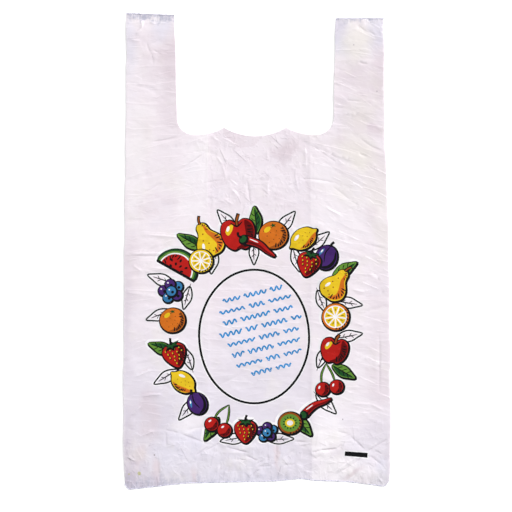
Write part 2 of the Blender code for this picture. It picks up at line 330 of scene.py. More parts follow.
def neck_line():
    """The die cut from the top of the left handle's inner edge to the right one's."""
    base = HALF_LENGTH - NECK_DEPTH
    root = HALF_WIDTH - HANDLE_ROOT_WIDTH
    side_dip = root - NECK_CORNER
    side_run = side_dip - PEAK_OFFSET
    side_radius = (side_run**2 + PEAK_RISE**2) / (2 * PEAK_RISE)
    side_turn = math.degrees(math.asin(side_run / side_radius))
    middle_radius = (PEAK_OFFSET**2 + MOUTH_DIP**2) / (2 * MOUTH_DIP)
    middle_turn = math.degrees(math.asin(PEAK_OFFSET / middle_radius))
    lowest = base + PEAK_RISE - MOUTH_DIP
    right = [(HALF_WIDTH - HANDLE_TOP_WIDTH, HALF_LENGTH)]
    right += arc(side_dip, base + NECK_CORNER, NECK_CORNER, 0, -90, 16)
    right += arc(side_dip, base + side_radius, side_radius, -90, -90 - side_turn, 12)[1:]
    right += arc(0, lowest + middle_radius, middle_radius, -90 + middle_turn, -90, 14)[1:]
    left = [(-x, y) for x, y in right]
    return left + right[-2::-1]


def spaced(points, step, closed=False):
    """The same line with its points about a step apart, its corners kept."""
    points = [tuple(p) for p in points]
    ends = points[1:] + points[:1] if closed else points[1:]
    line = []
    for start, end in zip(points, ends):
        count = max(1, round(math.dist(start, end) / step))
        for index in range(count):
            share = index / count
            line.append((start[0] + (end[0] - start[0]) * share, start[1] + (end[1] - start[1]) * share))
    if not closed:
        line.append(points[-1])
    return line


def inside(px, py, polygon):
    """Which of the points lie inside the closed polygon."""
    polygon = np.asarray(polygon)
    x0, y0 = polygon[:, 0], polygon[:, 1]
    x1, y1 = np.roll(x0, -1), np.roll(y0, -1)
    hit = np.zeros(len(px), dtype=bool)
    near = np.flatnonzero((px > x0.min()) & (px < x0.max()) & (py > y0.min()) & (py < y0.max()))
    qx, qy = px[near], py[near]
    odd = np.zeros(len(near), dtype=bool)
    for ax, ay, bx, by in zip(x0, y0, x1, y1):
        if ay == by:
            continue
        crosses = (ay > qy) != (by > qy)
        odd ^= crosses & (qx < (bx - ax) * (qy - ay) / (by - ay) + ax)
    hit[near] = odd
    return hit


def between(grid, column, row):
    """The values of a grid between its points."""
    column = np.clip(column, 0, grid.shape[1] - 1.001)
    row = np.clip(row, 0, grid.shape[0] - 1.001)
    c, r = column.astype(int), row.astype(int)
    u, v = column - c, row - r
    near = grid[r, c] * (1 - u) + grid[r, c + 1] * u
    far = grid[r + 1, c] * (1 - u) + grid[r + 1, c + 1] * u
    return near * (1 - v) + far * v


class Crinkles:
    """The height of the film's crinkles over the flat bag: facets on a grid, and folds worked out exactly."""

    SOFT = 0.3

    def __init__(self, seed):
        self.rng = np.random.default_rng(seed)
        self.low_x = -HALF_WIDTH - GRID_MARGIN
        self.low_y = -HALF_LENGTH - GRID_MARGIN
        across = int(2 * (HALF_WIDTH + GRID_MARGIN) / CELL) + 1
        along = int(2 * (HALF_LENGTH + GRID_MARGIN) / CELL) + 1
        self.x = self.low_x + CELL * np.arange(across)
        self.y = self.low_y + CELL * np.arange(along)
        self.height = np.zeros((along, across))
        self.folds = []
        self.level = 0.0

    def fold(self, x0, y0, x1, y1, height, reach, bend=0.0, skew=0.0):
        """A crease with a sharp crest, faded at its ends; skew makes one side steeper."""
        self.folds.append((x0, y0, x1, y1, height, reach, bend, skew))

    def crest_lines(self, least, most, rows):
        """The crests of the folds between two heights, each as a few lines side by side."""
        lines = []
        for x0, y0, x1, y1, height, reach, bend, _ in self.folds:
            length = math.hypot(x1 - x0, y1 - y0)
            if not least <= abs(height) < most or length < 5:
                continue
            ux, uy = (x1 - x0) / length, (y1 - y0) / length
            t = np.linspace(0.03, 0.97, max(3, round(length / 1.5)))
            for row in rows:
                off = 4 * bend * t * (1 - t) + row
                line = np.stack([x0 + (x1 - x0) * t - uy * off, y0 + (y1 - y0) * t + ux * off], 1)
                kept = (np.abs(line[:, 0]) < HALF_WIDTH - 1.5) & (np.abs(line[:, 1]) < HALF_LENGTH - 1.2)
                if kept.all():
                    lines.append((line, False))
        return lines

    def folded(self, x, y):
        """The height that the folds add at any points."""
        total = np.zeros(len(x))
        for x0, y0, x1, y1, height, reach, bend, skew in self.folds:
            wide = 5 * reach * (1 + abs(skew)) + abs(bend)
            near = (y > min(y0, y1) - wide) & (y < max(y0, y1) + wide)
            near &= (x > min(x0, x1) - wide) & (x < max(x0, x1) + wide)
            near = np.flatnonzero(near)
            if len(near) == 0:
                continue
            length = math.hypot(x1 - x0, y1 - y0)
            ux, uy = (x1 - x0) / length, (y1 - y0) / length
            gx, gy = x[near] - x0, y[near] - y0
            along = (gx * ux + gy * uy) / length
            off = gy * ux - gx * uy - 4 * bend * along * (1 - along)
            side = reach * (1 + skew * np.sign(off))
            crest = 0.1 * reach
            drop = np.exp(-(np.sqrt(off * off + crest * crest) - crest) / side)
            fade = smooth(along / 0.3 + 0.1) * smooth((1 - along) / 0.3 + 0.1)
            total[near] += height * drop * fade
        return total

    def swell(self, x, y, half_x, half_y, turn, height):
        """A broad, soft rise of the film."""
        cos, sin = math.cos(math.radians(turn)), math.sin(math.radians(turn))
        gx, gy = np.meshgrid(self.x - x, self.y - y)
        u = (gx * cos + gy * sin) / half_x
        v = (gy * cos - gx * sin) / half_y
        self.height += height * np.exp(-(u * u + v * v))

    def facets(self, step_u, step_v, height, strength, places):
        """Flat facets that meet in sharp edges, laid out in the two coordinates that places holds."""
        u, v = places
        low_u, low_v = u.min() - step_u, v.min() - step_v
        across = int((u.max() - low_u + step_u) / CELL) + 2
        along = int((v.max() - low_v + step_v) / CELL) + 2
        line_u, line_v = low_u + CELL * np.arange(across), low_v + CELL * np.arange(along)
        nu, nv = int(across * CELL / step_u) + 3, int(along * CELL / step_v) + 3
        gu, gv = np.meshgrid(np.arange(nu) - 0.5, np.arange(nv) - 0.5)
        gu = low_u + step_u * (gu + self.rng.uniform(-0.42, 0.42, gu.shape))
        gv = low_v + step_v * (gv + self.rng.uniform(-0.42, 0.42, gv.shape))
        tops = self.rng.uniform(-1, 1, gu.size)
        made = delaunay_2d_cdt([Vector(p) for p in zip(gu.ravel(), gv.ravel())], [], [], 0, 0.001)
        points = np.array([p[:] for p in made[0]])
        level = np.array([tops[origin[0]] for origin in made[3]])
        sheet = np.zeros((along, across))
        for triangle in made[2]:
            corners = points[triangle]
            low, high = corners.min(0), corners.max(0)
            columns = slice(*np.searchsorted(line_u, (low[0], high[0])))
            rows = slice(*np.searchsorted(line_v, (low[1], high[1])))
            qu, qv = line_u[columns][None, :] - corners[0, 0], line_v[rows][:, None] - corners[0, 1]
            (bu, bv), (cu, cv) = corners[1] - corners[0], corners[2] - corners[0]
            whole = bu * cv - cu * bv
            if qu.size * qv.size == 0 or abs(whole) < 1e-6:
                continue
            share_b, share_c = (qu * cv - cu * qv) / whole, (bu * qv - qu * bv) / whole
            within = (share_b >= 0) & (share_c >= 0) & (share_b + share_c <= 1)
            ha, hb, hc = level[triangle]
            sheet[rows, columns][within] = (ha + share_b * (hb - ha) + share_c * (hc - ha))[within]
        self.height += height * strength * between(sheet, (u - low_u) / CELL, (v - low_v) / CELL)

    def fold_way(self, x, y):
        """The usual direction of folds at a place, in radians."""
        if y > HALF_LENGTH - NECK_DEPTH + 12:
            return self.rng.normal(0.0, 0.35)
        if y < -HALF_LENGTH + 28:
            return self.rng.normal(math.pi / 2, 0.45)
        if abs(x) < 58 and y > 20:
            return self.rng.uniform(0, math.pi)
        fan = math.atan2(y - 150, x - math.copysign(12, x))
        level = 0.0 if x > 0 else math.pi
        share = float(smooth((y + 60) / 150))
        way = math.atan2(
            share * math.sin(fan) + (1 - share) * math.sin(level),
            share * math.cos(fan) + (1 - share) * math.cos(level),
        )
        return way + self.rng.normal(0.0, 0.2)

    def scatter(self, count, lengths, heights, reaches):
        """Many smaller folds that run the way the film was pulled."""
        for _ in range(count):
            x = self.rng.uniform(-HALF_WIDTH, HALF_WIDTH)
            y = self.rng.uniform(-HALF_LENGTH, HALF_LENGTH)
            way = self.fold_way(x, y)
            length = self.rng.uniform(*lengths)
            half_x, half_y = length / 2 * math.cos(way), length / 2 * math.sin(way)
            height = self.rng.choice((-1, 1)) * self.rng.uniform(*heights)
            reach = self.rng.uniform(*reaches)
            bend = self.rng.normal(0.0, length * 0.03)
            skew = self.rng.uniform(-0.5, 0.5)
            self.fold(x - half_x, y - half_y, x + half_x, y + half_y, height, reach, bend, skew)

    def gathers(self, low_x, high_x, weld_y, inward, spacing, lengths, heights):
        """Short pleats that start in a weld and run out of it."""
        count = int((high_x - low_x) / spacing)
        for index in range(count):
            x = low_x + (index + self.rng.uniform(0.1, 0.9)) * spacing
            length = self.rng.uniform(*lengths)
            lean = self.rng.normal(0.0, 0.35) * length
            height = self.rng.choice((-1, 1)) * self.rng.uniform(*heights)
            start = weld_y - inward * 0.5 * length
            end = weld_y + inward * length
            self.fold(x, start, x + lean, end, height, self.rng.uniform(1.0, 2.2))

    def settle(self):
        """Finds the level at which the film lies, from the lowest part of the field."""
        gx, gy = np.meshgrid(self.x[::4], self.y[::4])
        self.level = float(np.percentile(self.rough(gx.ravel(), gy.ravel()), 1.5))

    def rough(self, x, y):
        """The height before the film is laid on the table."""
        return between(self.height, (x - self.low_x) / CELL, (y - self.low_y) / CELL) + self.folded(x, y)

    def at(self, x, y):
        """The height at any points, never below the table and pressed down towards the welds."""
        x, y = np.asarray(x, float), np.asarray(y, float)
        height = self.rough(x, y) - self.level
        height = self.SOFT * np.logaddexp(0.0, height / self.SOFT)
        return height * (0.35 + 0.65 * smooth((HALF_LENGTH - np.abs(y)) / 12.0))


class FoldFlow:
    """Two coordinates over the flat bag, one along and one across the way its folds run."""

    STEP = 5.0
    REACH = 20.0

    def __init__(self):
        self.x = np.arange(-HALF_WIDTH - 10, HALF_WIDTH + 10.1, self.STEP)
        self.y = np.arange(-HALF_LENGTH - 10, HALF_LENGTH + 10.1, self.STEP)
        gx, gy = np.meshgrid(self.x, self.y)
        level = np.full(gx.shape, 0.35)
        slant = np.zeros(gx.shape)
        for x0, y0, x1, y1, height, _, _ in HANDLE_FOLDS + SHOULDER_FOLDS + BODY_FOLDS:
            length = math.hypot(x1 - x0, y1 - y0)
            way = math.atan2(y1 - y0, x1 - x0)
            if abs(math.sin(way)) > 0.8:
                continue
            along = np.clip(((gx - x0) * (x1 - x0) + (gy - y0) * (y1 - y0)) / length**2, 0, 1)
            far2 = (gx - x0 - along * (x1 - x0)) ** 2 + (gy - y0 - along * (y1 - y0)) ** 2
            weight = length * abs(height) / 20 * np.exp(-far2 / (2 * self.REACH**2))
            level += weight * math.cos(2 * way)
            slant += weight * math.sin(2 * way)
        way = 0.5 * np.arctan2(slant, level)
        self.along = self.level_of(np.cos(way), np.sin(way))
        self.across = self.level_of(-np.sin(way), np.cos(way))

    def level_of(self, want_x, want_y):
        """The surface whose slopes come nearest to those wanted, by conjugate gradients."""
        step_x = (want_x[:, 1:] + want_x[:, :-1]) / 2 * self.STEP
        step_y = (want_y[1:] + want_y[:-1]) / 2 * self.STEP

        def gathered(dx, dy):
            out = np.zeros_like(want_x)
            out[:, 1:] += dx
            out[:, :-1] -= dx
            out[1:] += dy
            out[:-1] -= dy
            return out

        found = np.zeros_like(want_x)
        rest = gathered(step_x, step_y)
        way = rest.copy()
        size = float((rest * rest).sum())
        for _ in range(400):
            moved = gathered(np.diff(way, axis=1), np.diff(way, axis=0))
            share = size / float((way * moved).sum())
            found += share * way
            rest -= share * moved
            new_size = float((rest * rest).sum())
            if new_size < 1e-8:
                break
            way = rest + new_size / size * way
            size = new_size
        return found

    def at(self, x, y):
        """Both coordinates in millimetres at any points."""
        column, row = (x - self.x[0]) / self.STEP, (y - self.y[0]) / self.STEP
        return between(self.along, column, row), between(self.across, column, row)

    def vectors(self, x, y):
        """The coordinates in metres as a mesh keeps them, with a third that is zero."""
        along, across = self.at(x, y)
        return np.stack([along * MM, across * MM, np.zeros(len(x))], 1)


# How the folds of each part are drawn: share of their height and share of their reach
FOLD_STYLES = (
    (HANDLE_FOLDS, 0.62, 0.5), (SHOULDER_FOLDS, 0.4, 0.4), (MOUTH_FOLDS, 0.38, 0.5),
    (BODY_FOLDS, 0.6, 0.5), (BASE_FOLDS, 1.05, 0.45),
)
KEY_LIGHT = (0.54, 0.61, 0.574)
LIT_SKEW = 0.5

# Random facets of the calm film: steps along and across its pull, and height
CALM_FACETS = ((46.0, 15.0, 0.42), (20.0, 7.5, 0.28), (9.0, 3.8, 0.1))
# Random facets of the mouth, the base and the handles: step and height
BUSY_FACETS = ((19.0, 0.24), (9.0, 0.15), (4.6, 0.07))
# Random small folds: how many, their lengths, heights and reaches
SCATTERED = (
    (60, (25.0, 85.0), (0.15, 0.4), (2.0, 4.0)), (420, (14.0, 60.0), (0.14, 0.34), (0.9, 1.6)),
    (900, (8.0, 30.0), (0.07, 0.2), (0.7, 1.3)),
)
# Pleats that run out of a weld: spacing, lengths and heights
BASE_PLEATS = ((2.6, (3.0, 9.0), (0.25, 0.6)), (9.0, (9.0, 24.0), (0.3, 0.8)))
HANDLE_PLEATS = (3.4, (4.0, 13.0), (0.4, 0.9))


def film_crinkles(settings, flow):
    """Every fold, facet and gather of the film."""
    film = Crinkles(settings.seed)
    for swell in SWELLS:
        film.swell(*swell)
    for group, height_share, reach_share in FOLD_STYLES:
        for x0, y0, x1, y1, height, reach, bend in group:
            lit = (x1 - x0) * KEY_LIGHT[1] - (y1 - y0) * KEY_LIGHT[0]
            skew = -math.copysign(LIT_SKEW, lit)
            film.fold(x0, y0, x1, y1, height_share * height, reach_share * reach, bend, skew)
    gx, gy = np.meshgrid(film.x, film.y)
    mouth = np.exp(-((gx / 60) ** 2) - ((gy - 85) / 50) ** 2)
    base = smooth((-gy - 190) / 50)
    handles = smooth((gy - 195) / 50)
    calm = np.clip(1 - mouth - base, 0, 1)
    pulled = flow.at(gx, gy)
    for step_u, step_v, height in CALM_FACETS:
        film.facets(step_u, step_v, height, calm * (0.8 + 0.15 * handles), pulled)
    for step, height in BUSY_FACETS:
        film.facets(step, 0.85 * step, height, 0.7 * mouth + 1.45 * base + 0.3 * handles, (gx, gy))
    film.facets(36.0, 27.0, 0.8, base, (gx, gy))
    for kind in SCATTERED:
        film.scatter(*kind)
    for pleats in BASE_PLEATS:
        film.gathers(-HALF_WIDTH, HALF_WIDTH, -HALF_LENGTH, 1, *pleats)
    for side in (-1, 1):
        low, high = sorted((side * HALF_WIDTH, side * (HALF_WIDTH - HANDLE_TOP_WIDTH)))
        film.gathers(low, high, HALF_LENGTH, -1, *HANDLE_PLEATS)
    film.settle()
    return film


def ply_gaps(x, y, settings):
    """The three gaps between the four plies, each at least a hair wide."""
    x, y = np.asarray(x, float), np.asarray(y, float)
    from_weld = HALF_LENGTH - np.abs(y)
    parted = 0.03 + 0.97 * smooth(from_weld / 22.0)
    loose = settings.ply_gap
    ripple = np.sin(x * 0.11 + 1.7 * np.sin(y * 0.031)) * np.sin(y * 0.047 + 0.6)
    low = loose * (0.75 + 0.25 * ripple)
    middle = loose * (0.8 - 0.3 * ripple)
    high = loose * (0.9 + 0.25 * np.sin(y * 0.06 + x * 0.05))
    return low * parted, middle * parted, high * parted


def gusset_share(x):
    """1 where the gussets lie between front and back, falling off just inside their folds."""
    past_left = np.exp(-np.clip(x - LEFT_FOLD_X, 0, None) / 3.5)
    past_right = np.exp(-np.clip(RIGHT_FOLD_X - x, 0, None) / 3.5)
    return np.clip(past_left + past_right, 0, 1)


def ply_height(ply, x, y, film, settings):
    """The height of the back (0), the lower or upper gusset (1, 2) or the front (3)."""
    crinkle = film.at(x, y)
    low, middle, high = ply_gaps(x, y, settings)
    base = 0.02 + 0.1 * crinkle
    if ply == 0:
        return base
    if ply == 1:
        return base + low + 0.25 * crinkle
    if ply == 2:
        return base + low + middle + 0.5 * crinkle
    stack = low + middle + high
    single = 0.7 * low
    return base + single + (stack - single) * gusset_share(x) + 0.9 * crinkle


def laid(x, y, front=False):
    """Moves points of the flat bag to where the shrunken, pulled film lies."""
    x, y = np.asarray(x, float), np.asarray(y, float)
    rows = np.array(SIDE_LINES, float)
    left = through(rows[:, 0], rows[:, 1], y)
    right = through(rows[:, 0], rows[:, 2], y)
    share = (x + HALF_WIDTH) / (2 * HALF_WIDTH)
    new_x = left + (right - left) * share
    new_x += 0.35 * np.sin(y * 0.09 + 0.4 * np.sin(y * 0.23)) * np.abs(x) / HALF_WIDTH
    new_y = y * LENGTH_SHARE
    hem = np.array(HEM_RISE, float)
    rise = through(hem[:, 0], hem[:, 1], x)
    new_y += rise * (1 - smooth((y + HALF_LENGTH) / HEM_REACH))
    near_top = 1 - smooth((HALF_LENGTH - y) / HANDLE_REACH)
    inner = np.clip((x + HALF_WIDTH) / HANDLE_TOP_WIDTH, 0, 1)
    drop = np.where(x < 0, LEFT_HANDLE_SLANT * inner, RIGHT_HANDLE_DROP)
    new_y -= drop * near_top
    if front:
        lip = np.array(LIP_PULL, float)
        mouth_y = HALF_LENGTH - NECK_DEPTH
        below = np.clip(mouth_y + 8 - y, 0, None)
        new_y -= through(lip[:, 0], lip[:, 1], x, 1.2) * np.exp(-below / LIP_REACH)
    return new_x, new_y


# How a ply is meshed: height of a row of even triangles, how far points stray, room kept beside a line
ROW_SHARE = 0.866
STRAY_SHARE = 0.2
ROOM_SHARE = 0.55


def sheet_mesh(outline, lines, step, rng):
    """Triangles over a flat outline, with the lines kept as edges: points and faces."""
    points = [Vector(p) for p in outline]
    edges = [(i, (i + 1) % len(outline)) for i in range(len(outline))]
    for line, closed in lines:
        start = len(points)
        points += [Vector(p) for p in line]
        edges += [(start + i, start + i + 1) for i in range(len(line) - 1)]
        if closed:
            edges.append((len(points) - 1, start))
    kept = np.array([p[:] for p in points])
    low, high = kept.min(0), kept.max(0)
    rows = int((high[1] - low[1]) / (step * ROW_SHARE)) + 1
    columns = int((high[0] - low[0]) / step) + 1
    gx, gy = np.meshgrid(np.arange(columns), np.arange(rows))
    x = low[0] + step * (gx + 0.5 * (gy % 2)) + rng.uniform(-STRAY_SHARE, STRAY_SHARE, gx.shape) * step
    y = low[1] + step * ROW_SHARE * gy + rng.uniform(-STRAY_SHARE, STRAY_SHARE, gy.shape) * step
    x, y = x.ravel(), y.ravel()
    free = inside(x, y, outline)
    x, y = x[free], y[free]
    cell = step * ROOM_SHARE
    taken = np.zeros((int((high[1] - low[1]) / cell) + 5, int((high[0] - low[0]) / cell) + 5), bool)
    columns = ((kept[:, 0] - low[0]) / cell).astype(int) + 2
    rows = ((kept[:, 1] - low[1]) / cell).astype(int) + 2
    for right in (-1, 0, 1):
        for up in (-1, 0, 1):
            taken[rows + up, columns + right] = True
    clear = ~taken[((y - low[1]) / cell).astype(int) + 2, ((x - low[0]) / cell).astype(int) + 2]
    points += [Vector(p) for p in zip(x[clear], y[clear])]
    made = delaunay_2d_cdt(points, edges, [], 0, 0.02)
    flat = np.array([p[:] for p in made[0]])
    faces = np.array([f for f in made[2] if len(f) == 3])
    middle = flat[faces].mean(1)
    faces = faces[inside(middle[:, 0], middle[:, 1], outline)]
    a, b, c = (flat[faces[:, i]] for i in range(3))
    turn = (b[:, 0] - a[:, 0]) * (c[:, 1] - a[:, 1]) - (b[:, 1] - a[:, 1]) * (c[:, 0] - a[:, 0])
    faces[turn < 0] = faces[turn < 0][:, ::-1]
    return flat, faces


def bag_outline(edge, stations):
    """The flat bag's outline, its sides at the given places along and its neck cut out."""
    neck = spaced(neck_line(), 1.6)
    bottom = spaced([(-edge, -HALF_LENGTH), (edge, -HALF_LENGTH)], 1.6)
    top_right = spaced([(edge, HALF_LENGTH), neck[-1]], 1.6)
    top_left = spaced([neck[0], (-edge, HALF_LENGTH)], 1.6)
    right = [(edge, y) for y in stations[1:-1]]
    left = [(-edge, y) for y in stations[-2:0:-1]]
    return bottom + right + top_right[:-1] + neck[::-1] + top_left[1:] + left


def gusset_outline(side, inner, edge, stations, inner_stations):
    """A gusset's flat outline on one side, with the neck cut out of it."""
    bottom = spaced([(inner, -HALF_LENGTH), (side * edge, -HALF_LENGTH)], 3.0)
    outer = [(side * edge, y) for y in stations[1:-1]]
    top = spaced([(side * edge, HALF_LENGTH), (side * (HALF_WIDTH - HANDLE_TOP_WIDTH), HALF_LENGTH)], 2.4)
    neck_part = [p for p in spaced(neck_line(), 2.4) if side * p[0] >= side * inner]
    if side > 0:
        neck_part = neck_part[::-1]
    fold = [(inner, y) for y in inner_stations[::-1] if y < neck_part[-1][1] - 1.0]
    return bottom + outer + top[:-1] + neck_part + fold[:-1]


# The print


def curve_part(before, start, end, later, t):
    """A share of the way from one point to the next along a smooth curve, given their neighbours."""
    return 0.5 * (2 * start + (end - before) * t + (2 * before - 5 * start + 4 * end - later) * t**2
                  + (3 * start - before - 3 * end + later) * t**3)


def curve_loop(points, steps=5):
    """A closed smooth curve through the points."""
    p = np.asarray(points, float)
    before, after, later = np.roll(p, 1, 0), np.roll(p, -1, 0), np.roll(p, -2, 0)
    made = [curve_part(before, p, after, later, t) for t in np.arange(steps) / steps]
    return np.stack(made, 1).reshape(-1, 2)


def curve_line(points, steps=6):
    """An open smooth curve through the points."""
    p = np.asarray(points, float)
    p = np.vstack([2 * p[0] - p[1], p, 2 * p[-1] - p[-2]])
    made = [curve_part(*four, t) for four in zip(p, p[1:], p[2:], p[3:]) for t in np.arange(steps) / steps]
    return np.array([*made, p[-2]])


def mirrored(half):
    """A closed outline from its right half, which starts and ends on the middle line."""
    return [*half, *((-x, y) for x, y in half[-2:0:-1])]


def oval(x, y, rx, ry, turn=0.0, steps=26):
    """A closed oval about a place, turned by degrees."""
    t = np.linspace(0, 2 * math.pi, steps, endpoint=False)
    c, s = math.cos(math.radians(turn)), math.sin(math.radians(turn))
    u, v = rx * np.cos(t), ry * np.sin(t)
    return np.stack([x + u * c - v * s, y + u * s + v * c], 1)


def grown(shape, by):
    """A closed outline pushed outwards by a distance."""
    p = np.asarray(shape, float)
    before, after = np.roll(p, 1, 0), np.roll(p, -1, 0)
    run = after - before
    area = np.sum(p[:, 0] * after[:, 1] - after[:, 0] * p[:, 1])
    normal = np.stack([run[:, 1], -run[:, 0]], 1) * (1 if area > 0 else -1)
    normal /= np.maximum(np.linalg.norm(normal, axis=1, keepdims=True), 1e-9)
    return p + by * normal


def ribbon(line, width, taper=True):
    """A drawn stroke as a closed outline, thinner towards its ends."""
    p = np.asarray(line, float)
    run = np.gradient(p, axis=0)
    normal = np.stack([-run[:, 1], run[:, 0]], 1)
    normal /= np.maximum(np.linalg.norm(normal, axis=1, keepdims=True), 1e-9)
    along = np.linspace(0, 1, len(p))[:, None]
    half = width / 2 * (0.35 + 0.65 * np.sin(math.pi * along) ** 0.6 if taper else 1.0)
    return np.vstack([p + normal * half, (p - normal * half)[::-1]])


def ring(points, width):
    """A closed line of the same width all round, as one outline."""
    outer, inner = grown(points, width / 2), grown(points, -width / 2)
    return np.vstack([outer, outer[:1], inner[:1], inner[::-1]])


class Pen:
    """Draws into the print at one place, size and turn, keeping every shape as an inked outline."""

    OUTLINE = 1.9
    HALO = 3.9
    HEAVY_SIDE = (0.75, -0.75)

    def __init__(self, layers, x, y, size, turn=0.0):
        self.layers = layers
        self.x, self.y, self.size = x, y, size
        self.cos, self.sin = math.cos(math.radians(turn)), math.sin(math.radians(turn))

    def put(self, points):
        p = np.asarray(points, float) * self.size
        x = self.x + p[:, 0] * self.cos - p[:, 1] * self.sin
        y = self.y + p[:, 0] * self.sin + p[:, 1] * self.cos
        return np.stack([x, y], 1)

    def fill(self, ink, points):
        self.layers.append((ink, self.put(points)))

    def shape(self, ink, points):
        """A filled shape with a black outline, and a white halo under the whole print."""
        placed = self.put(points)
        self.layers.append(("halo", grown(placed, self.HALO)))
        self.layers.append(("black", grown(placed, self.OUTLINE) + self.HEAVY_SIDE))
        self.layers.append((ink, placed))

    def stroke(self, ink, points, width, taper=True):
        self.layers.append((ink, ribbon(self.put(curve_line(points)), width, taper)))

    def hatch(self, x, y, radius, first, last, count, length, width=1.5):
        """Short black strokes that lean in from a round edge."""
        for index, turn in enumerate(np.radians(np.linspace(first, last, count))):
            inner = radius - length * (0.7 + 0.3 * math.cos(2.3 * index))
            lean = turn + 0.16
            stops = ((radius, turn), ((radius + inner) / 2, turn + 0.05), (inner, lean))
            self.stroke("black", [(x + r * math.cos(t), y + r * math.sin(t)) for r, t in stops], width)


LEAF_BLADE = mirrored(((0, -1.0), (0.34, -0.45), (0.42, 0.1), (0.23, 0.65), (0, 1.1)))
LEAF_HALF = ((0, -0.95), (0.32, -0.42), (0.38, 0.1), (0.18, 0.62), (0, 1.0), (0.03, 0.3), (0.02, -0.4))


def leaf(pen):
    """A green leaf with its darker half and its veins."""
    pen.shape("green", curve_loop(LEAF_BLADE, 4))
    pen.fill("dark_green", curve_loop(LEAF_HALF, 3))
    pen.stroke("black", [(0, -1.0), (0.02, 0.0), (0, 0.85)], 1.4)
    for y in (-0.5, -0.1, 0.3):
        pen.stroke("black", [(0, y), (-0.2, y + 0.16), (-0.3, y + 0.3)], 1.0)
        pen.stroke("black", [(0, y + 0.1), (0.18, y + 0.25), (0.27, y + 0.4)], 1.0)


def bare_leaf(pen):
    """A leaf drawn in line only, with the film showing through."""
    blade = pen.put(curve_loop(LEAF_BLADE, 4))
    pen.layers.append(("halo", ring(blade, 3.8)))
    pen.layers.append(("black", ring(blade, 1.7)))
    pen.stroke("black", [(0, -1.25), (0.03, -0.2), (0, 0.7)], 1.3)
    for y in (-0.4, 0.1):
        pen.stroke("black", [(0, y), (-0.2, y + 0.2)], 0.9)
        pen.stroke("black", [(0, y + 0.1), (0.2, y + 0.3)], 0.9)


def apple(pen):
    half = ((0, 0.66), (0.42, 0.88), (0.88, 0.66), (1.0, 0.05), (0.78, -0.6), (0.36, -0.95), (0, -0.84))
    pen.shape("red", curve_loop(mirrored(half)))
    pen.fill("maroon", curve_loop([(0.5, 0.8), (0.94, 0.4), (0.9, -0.3), (0.5, -0.86), (-0.2, -0.88),
                                   (0.2, -0.6), (0.45, -0.1)], 4))
    shine = ((-0.22, 0.58), (-0.5, 0.52), (-0.74, 0.2), (-0.6, -0.05), (-0.34, 0.2))
    pen.fill("yellow", curve_loop(shine, 4))
    pen.fill("white", oval(-0.56, 0.36, 0.09, 0.18, -25, 12))
    pen.hatch(0, 0, 0.92, -70, 25, 8, 0.42)
    pen.stroke("black", [(-0.36, 0.7), (0, 0.46), (0.36, 0.72)], 1.9)
    pen.stroke("black", [(0, 0.5), (0.04, 0.85), (0.2, 1.25)], 4.2, False)
    pen.stroke("brown", [(0, 0.52), (0.04, 0.85), (0.2, 1.18)], 2.0, False)


def pear(pen):
    half = ((0, 1.2), (0.3, 1.02), (0.4, 0.55), (0.78, 0.0), (0.86, -0.52), (0.5, -0.95), (0, -1.02))
    pen.shape("yellow", curve_loop(mirrored(half)))
    pen.fill("orange", curve_loop([(0.16, 1.08), (0.36, 0.5), (0.72, 0.0), (0.8, -0.5), (0.45, -0.88),
                                   (0.0, -0.95), (0.36, -0.5), (0.28, 0.0), (0.1, 0.5)], 4))
    pen.fill("white", oval(-0.45, -0.25, 0.09, 0.22, -20, 12))
    for x, y in ((-0.2, -0.6), (-0.05, -0.2), (-0.3, 0.1), (0.0, -0.75), (-0.5, -0.6), (-0.12, 0.5)):
        pen.fill("brown", oval(x, y, 0.05, 0.05, 0, 8))
    pen.hatch(0, -0.2, 0.8, -75, 20, 7, 0.36)
    pen.hatch(0, 0.8, 0.36, -30, 60, 4, 0.2, 0.9)
    pen.stroke("black", [(0, 1.12), (0.06, 1.4), (0.22, 1.66)], 3.6, False)
    pen.stroke("brown", [(0, 1.15), (0.06, 1.4), (0.2, 1.6)], 1.6, False)


def orange(pen):
    pen.shape("orange", oval(0, 0, 1, 0.97, 0, 36))
    pen.fill("brown", curve_loop([(0.6, 0.74), (0.93, 0.2), (0.84, -0.42), (0.35, -0.88), (-0.3, -0.9),
                                  (0.3, -0.62), (0.62, -0.1), (0.68, 0.35)], 4))
    pen.fill("yellow", oval(-0.42, 0.4, 0.28, 0.17, 40, 14))
    for index in range(11):
        t, r = index * 2.4, 0.2 + 0.06 * index
        pen.fill("black", oval(r * math.cos(t), r * math.sin(t), 0.035, 0.035, 0, 7))
    pen.hatch(0, 0, 0.93, -80, 35, 10, 0.34)
    star = [(0.24 * (1 if i % 2 else 0.45) * math.cos(i * math.pi / 5),
             0.7 + 0.17 * (1 if i % 2 else 0.45) * math.sin(i * math.pi / 5)) for i in range(10)]
    pen.fill("dark_green", star)


def lemon(pen):
    body = curve_loop([(-1.32, 0), (-1.08, 0.2), (-0.72, 0.62), (0, 0.82), (0.72, 0.62), (1.08, 0.2),
                       (1.32, 0), (1.08, -0.2), (0.72, -0.62), (0, -0.82), (-0.72, -0.62), (-1.08, -0.2)])
    pen.shape("yellow", body)
    pen.fill("orange", curve_loop([(1.1, -0.12), (0.74, -0.56), (0, -0.76), (-0.7, -0.56), (-0.1, -0.46),
                                   (0.5, -0.25)], 4))
    pen.fill("white", oval(-0.4, 0.36, 0.3, 0.12, 20, 12))
    for x, y in ((0.1, 0.2), (0.4, 0.3), (-0.1, -0.1), (0.35, -0.05), (-0.5, -0.1), (0.7, 0.1)):
        pen.fill("brown", oval(x, y, 0.04, 0.04, 0, 7))
    pen.hatch(0, 0, 0.8, -125, -40, 8, 0.28)


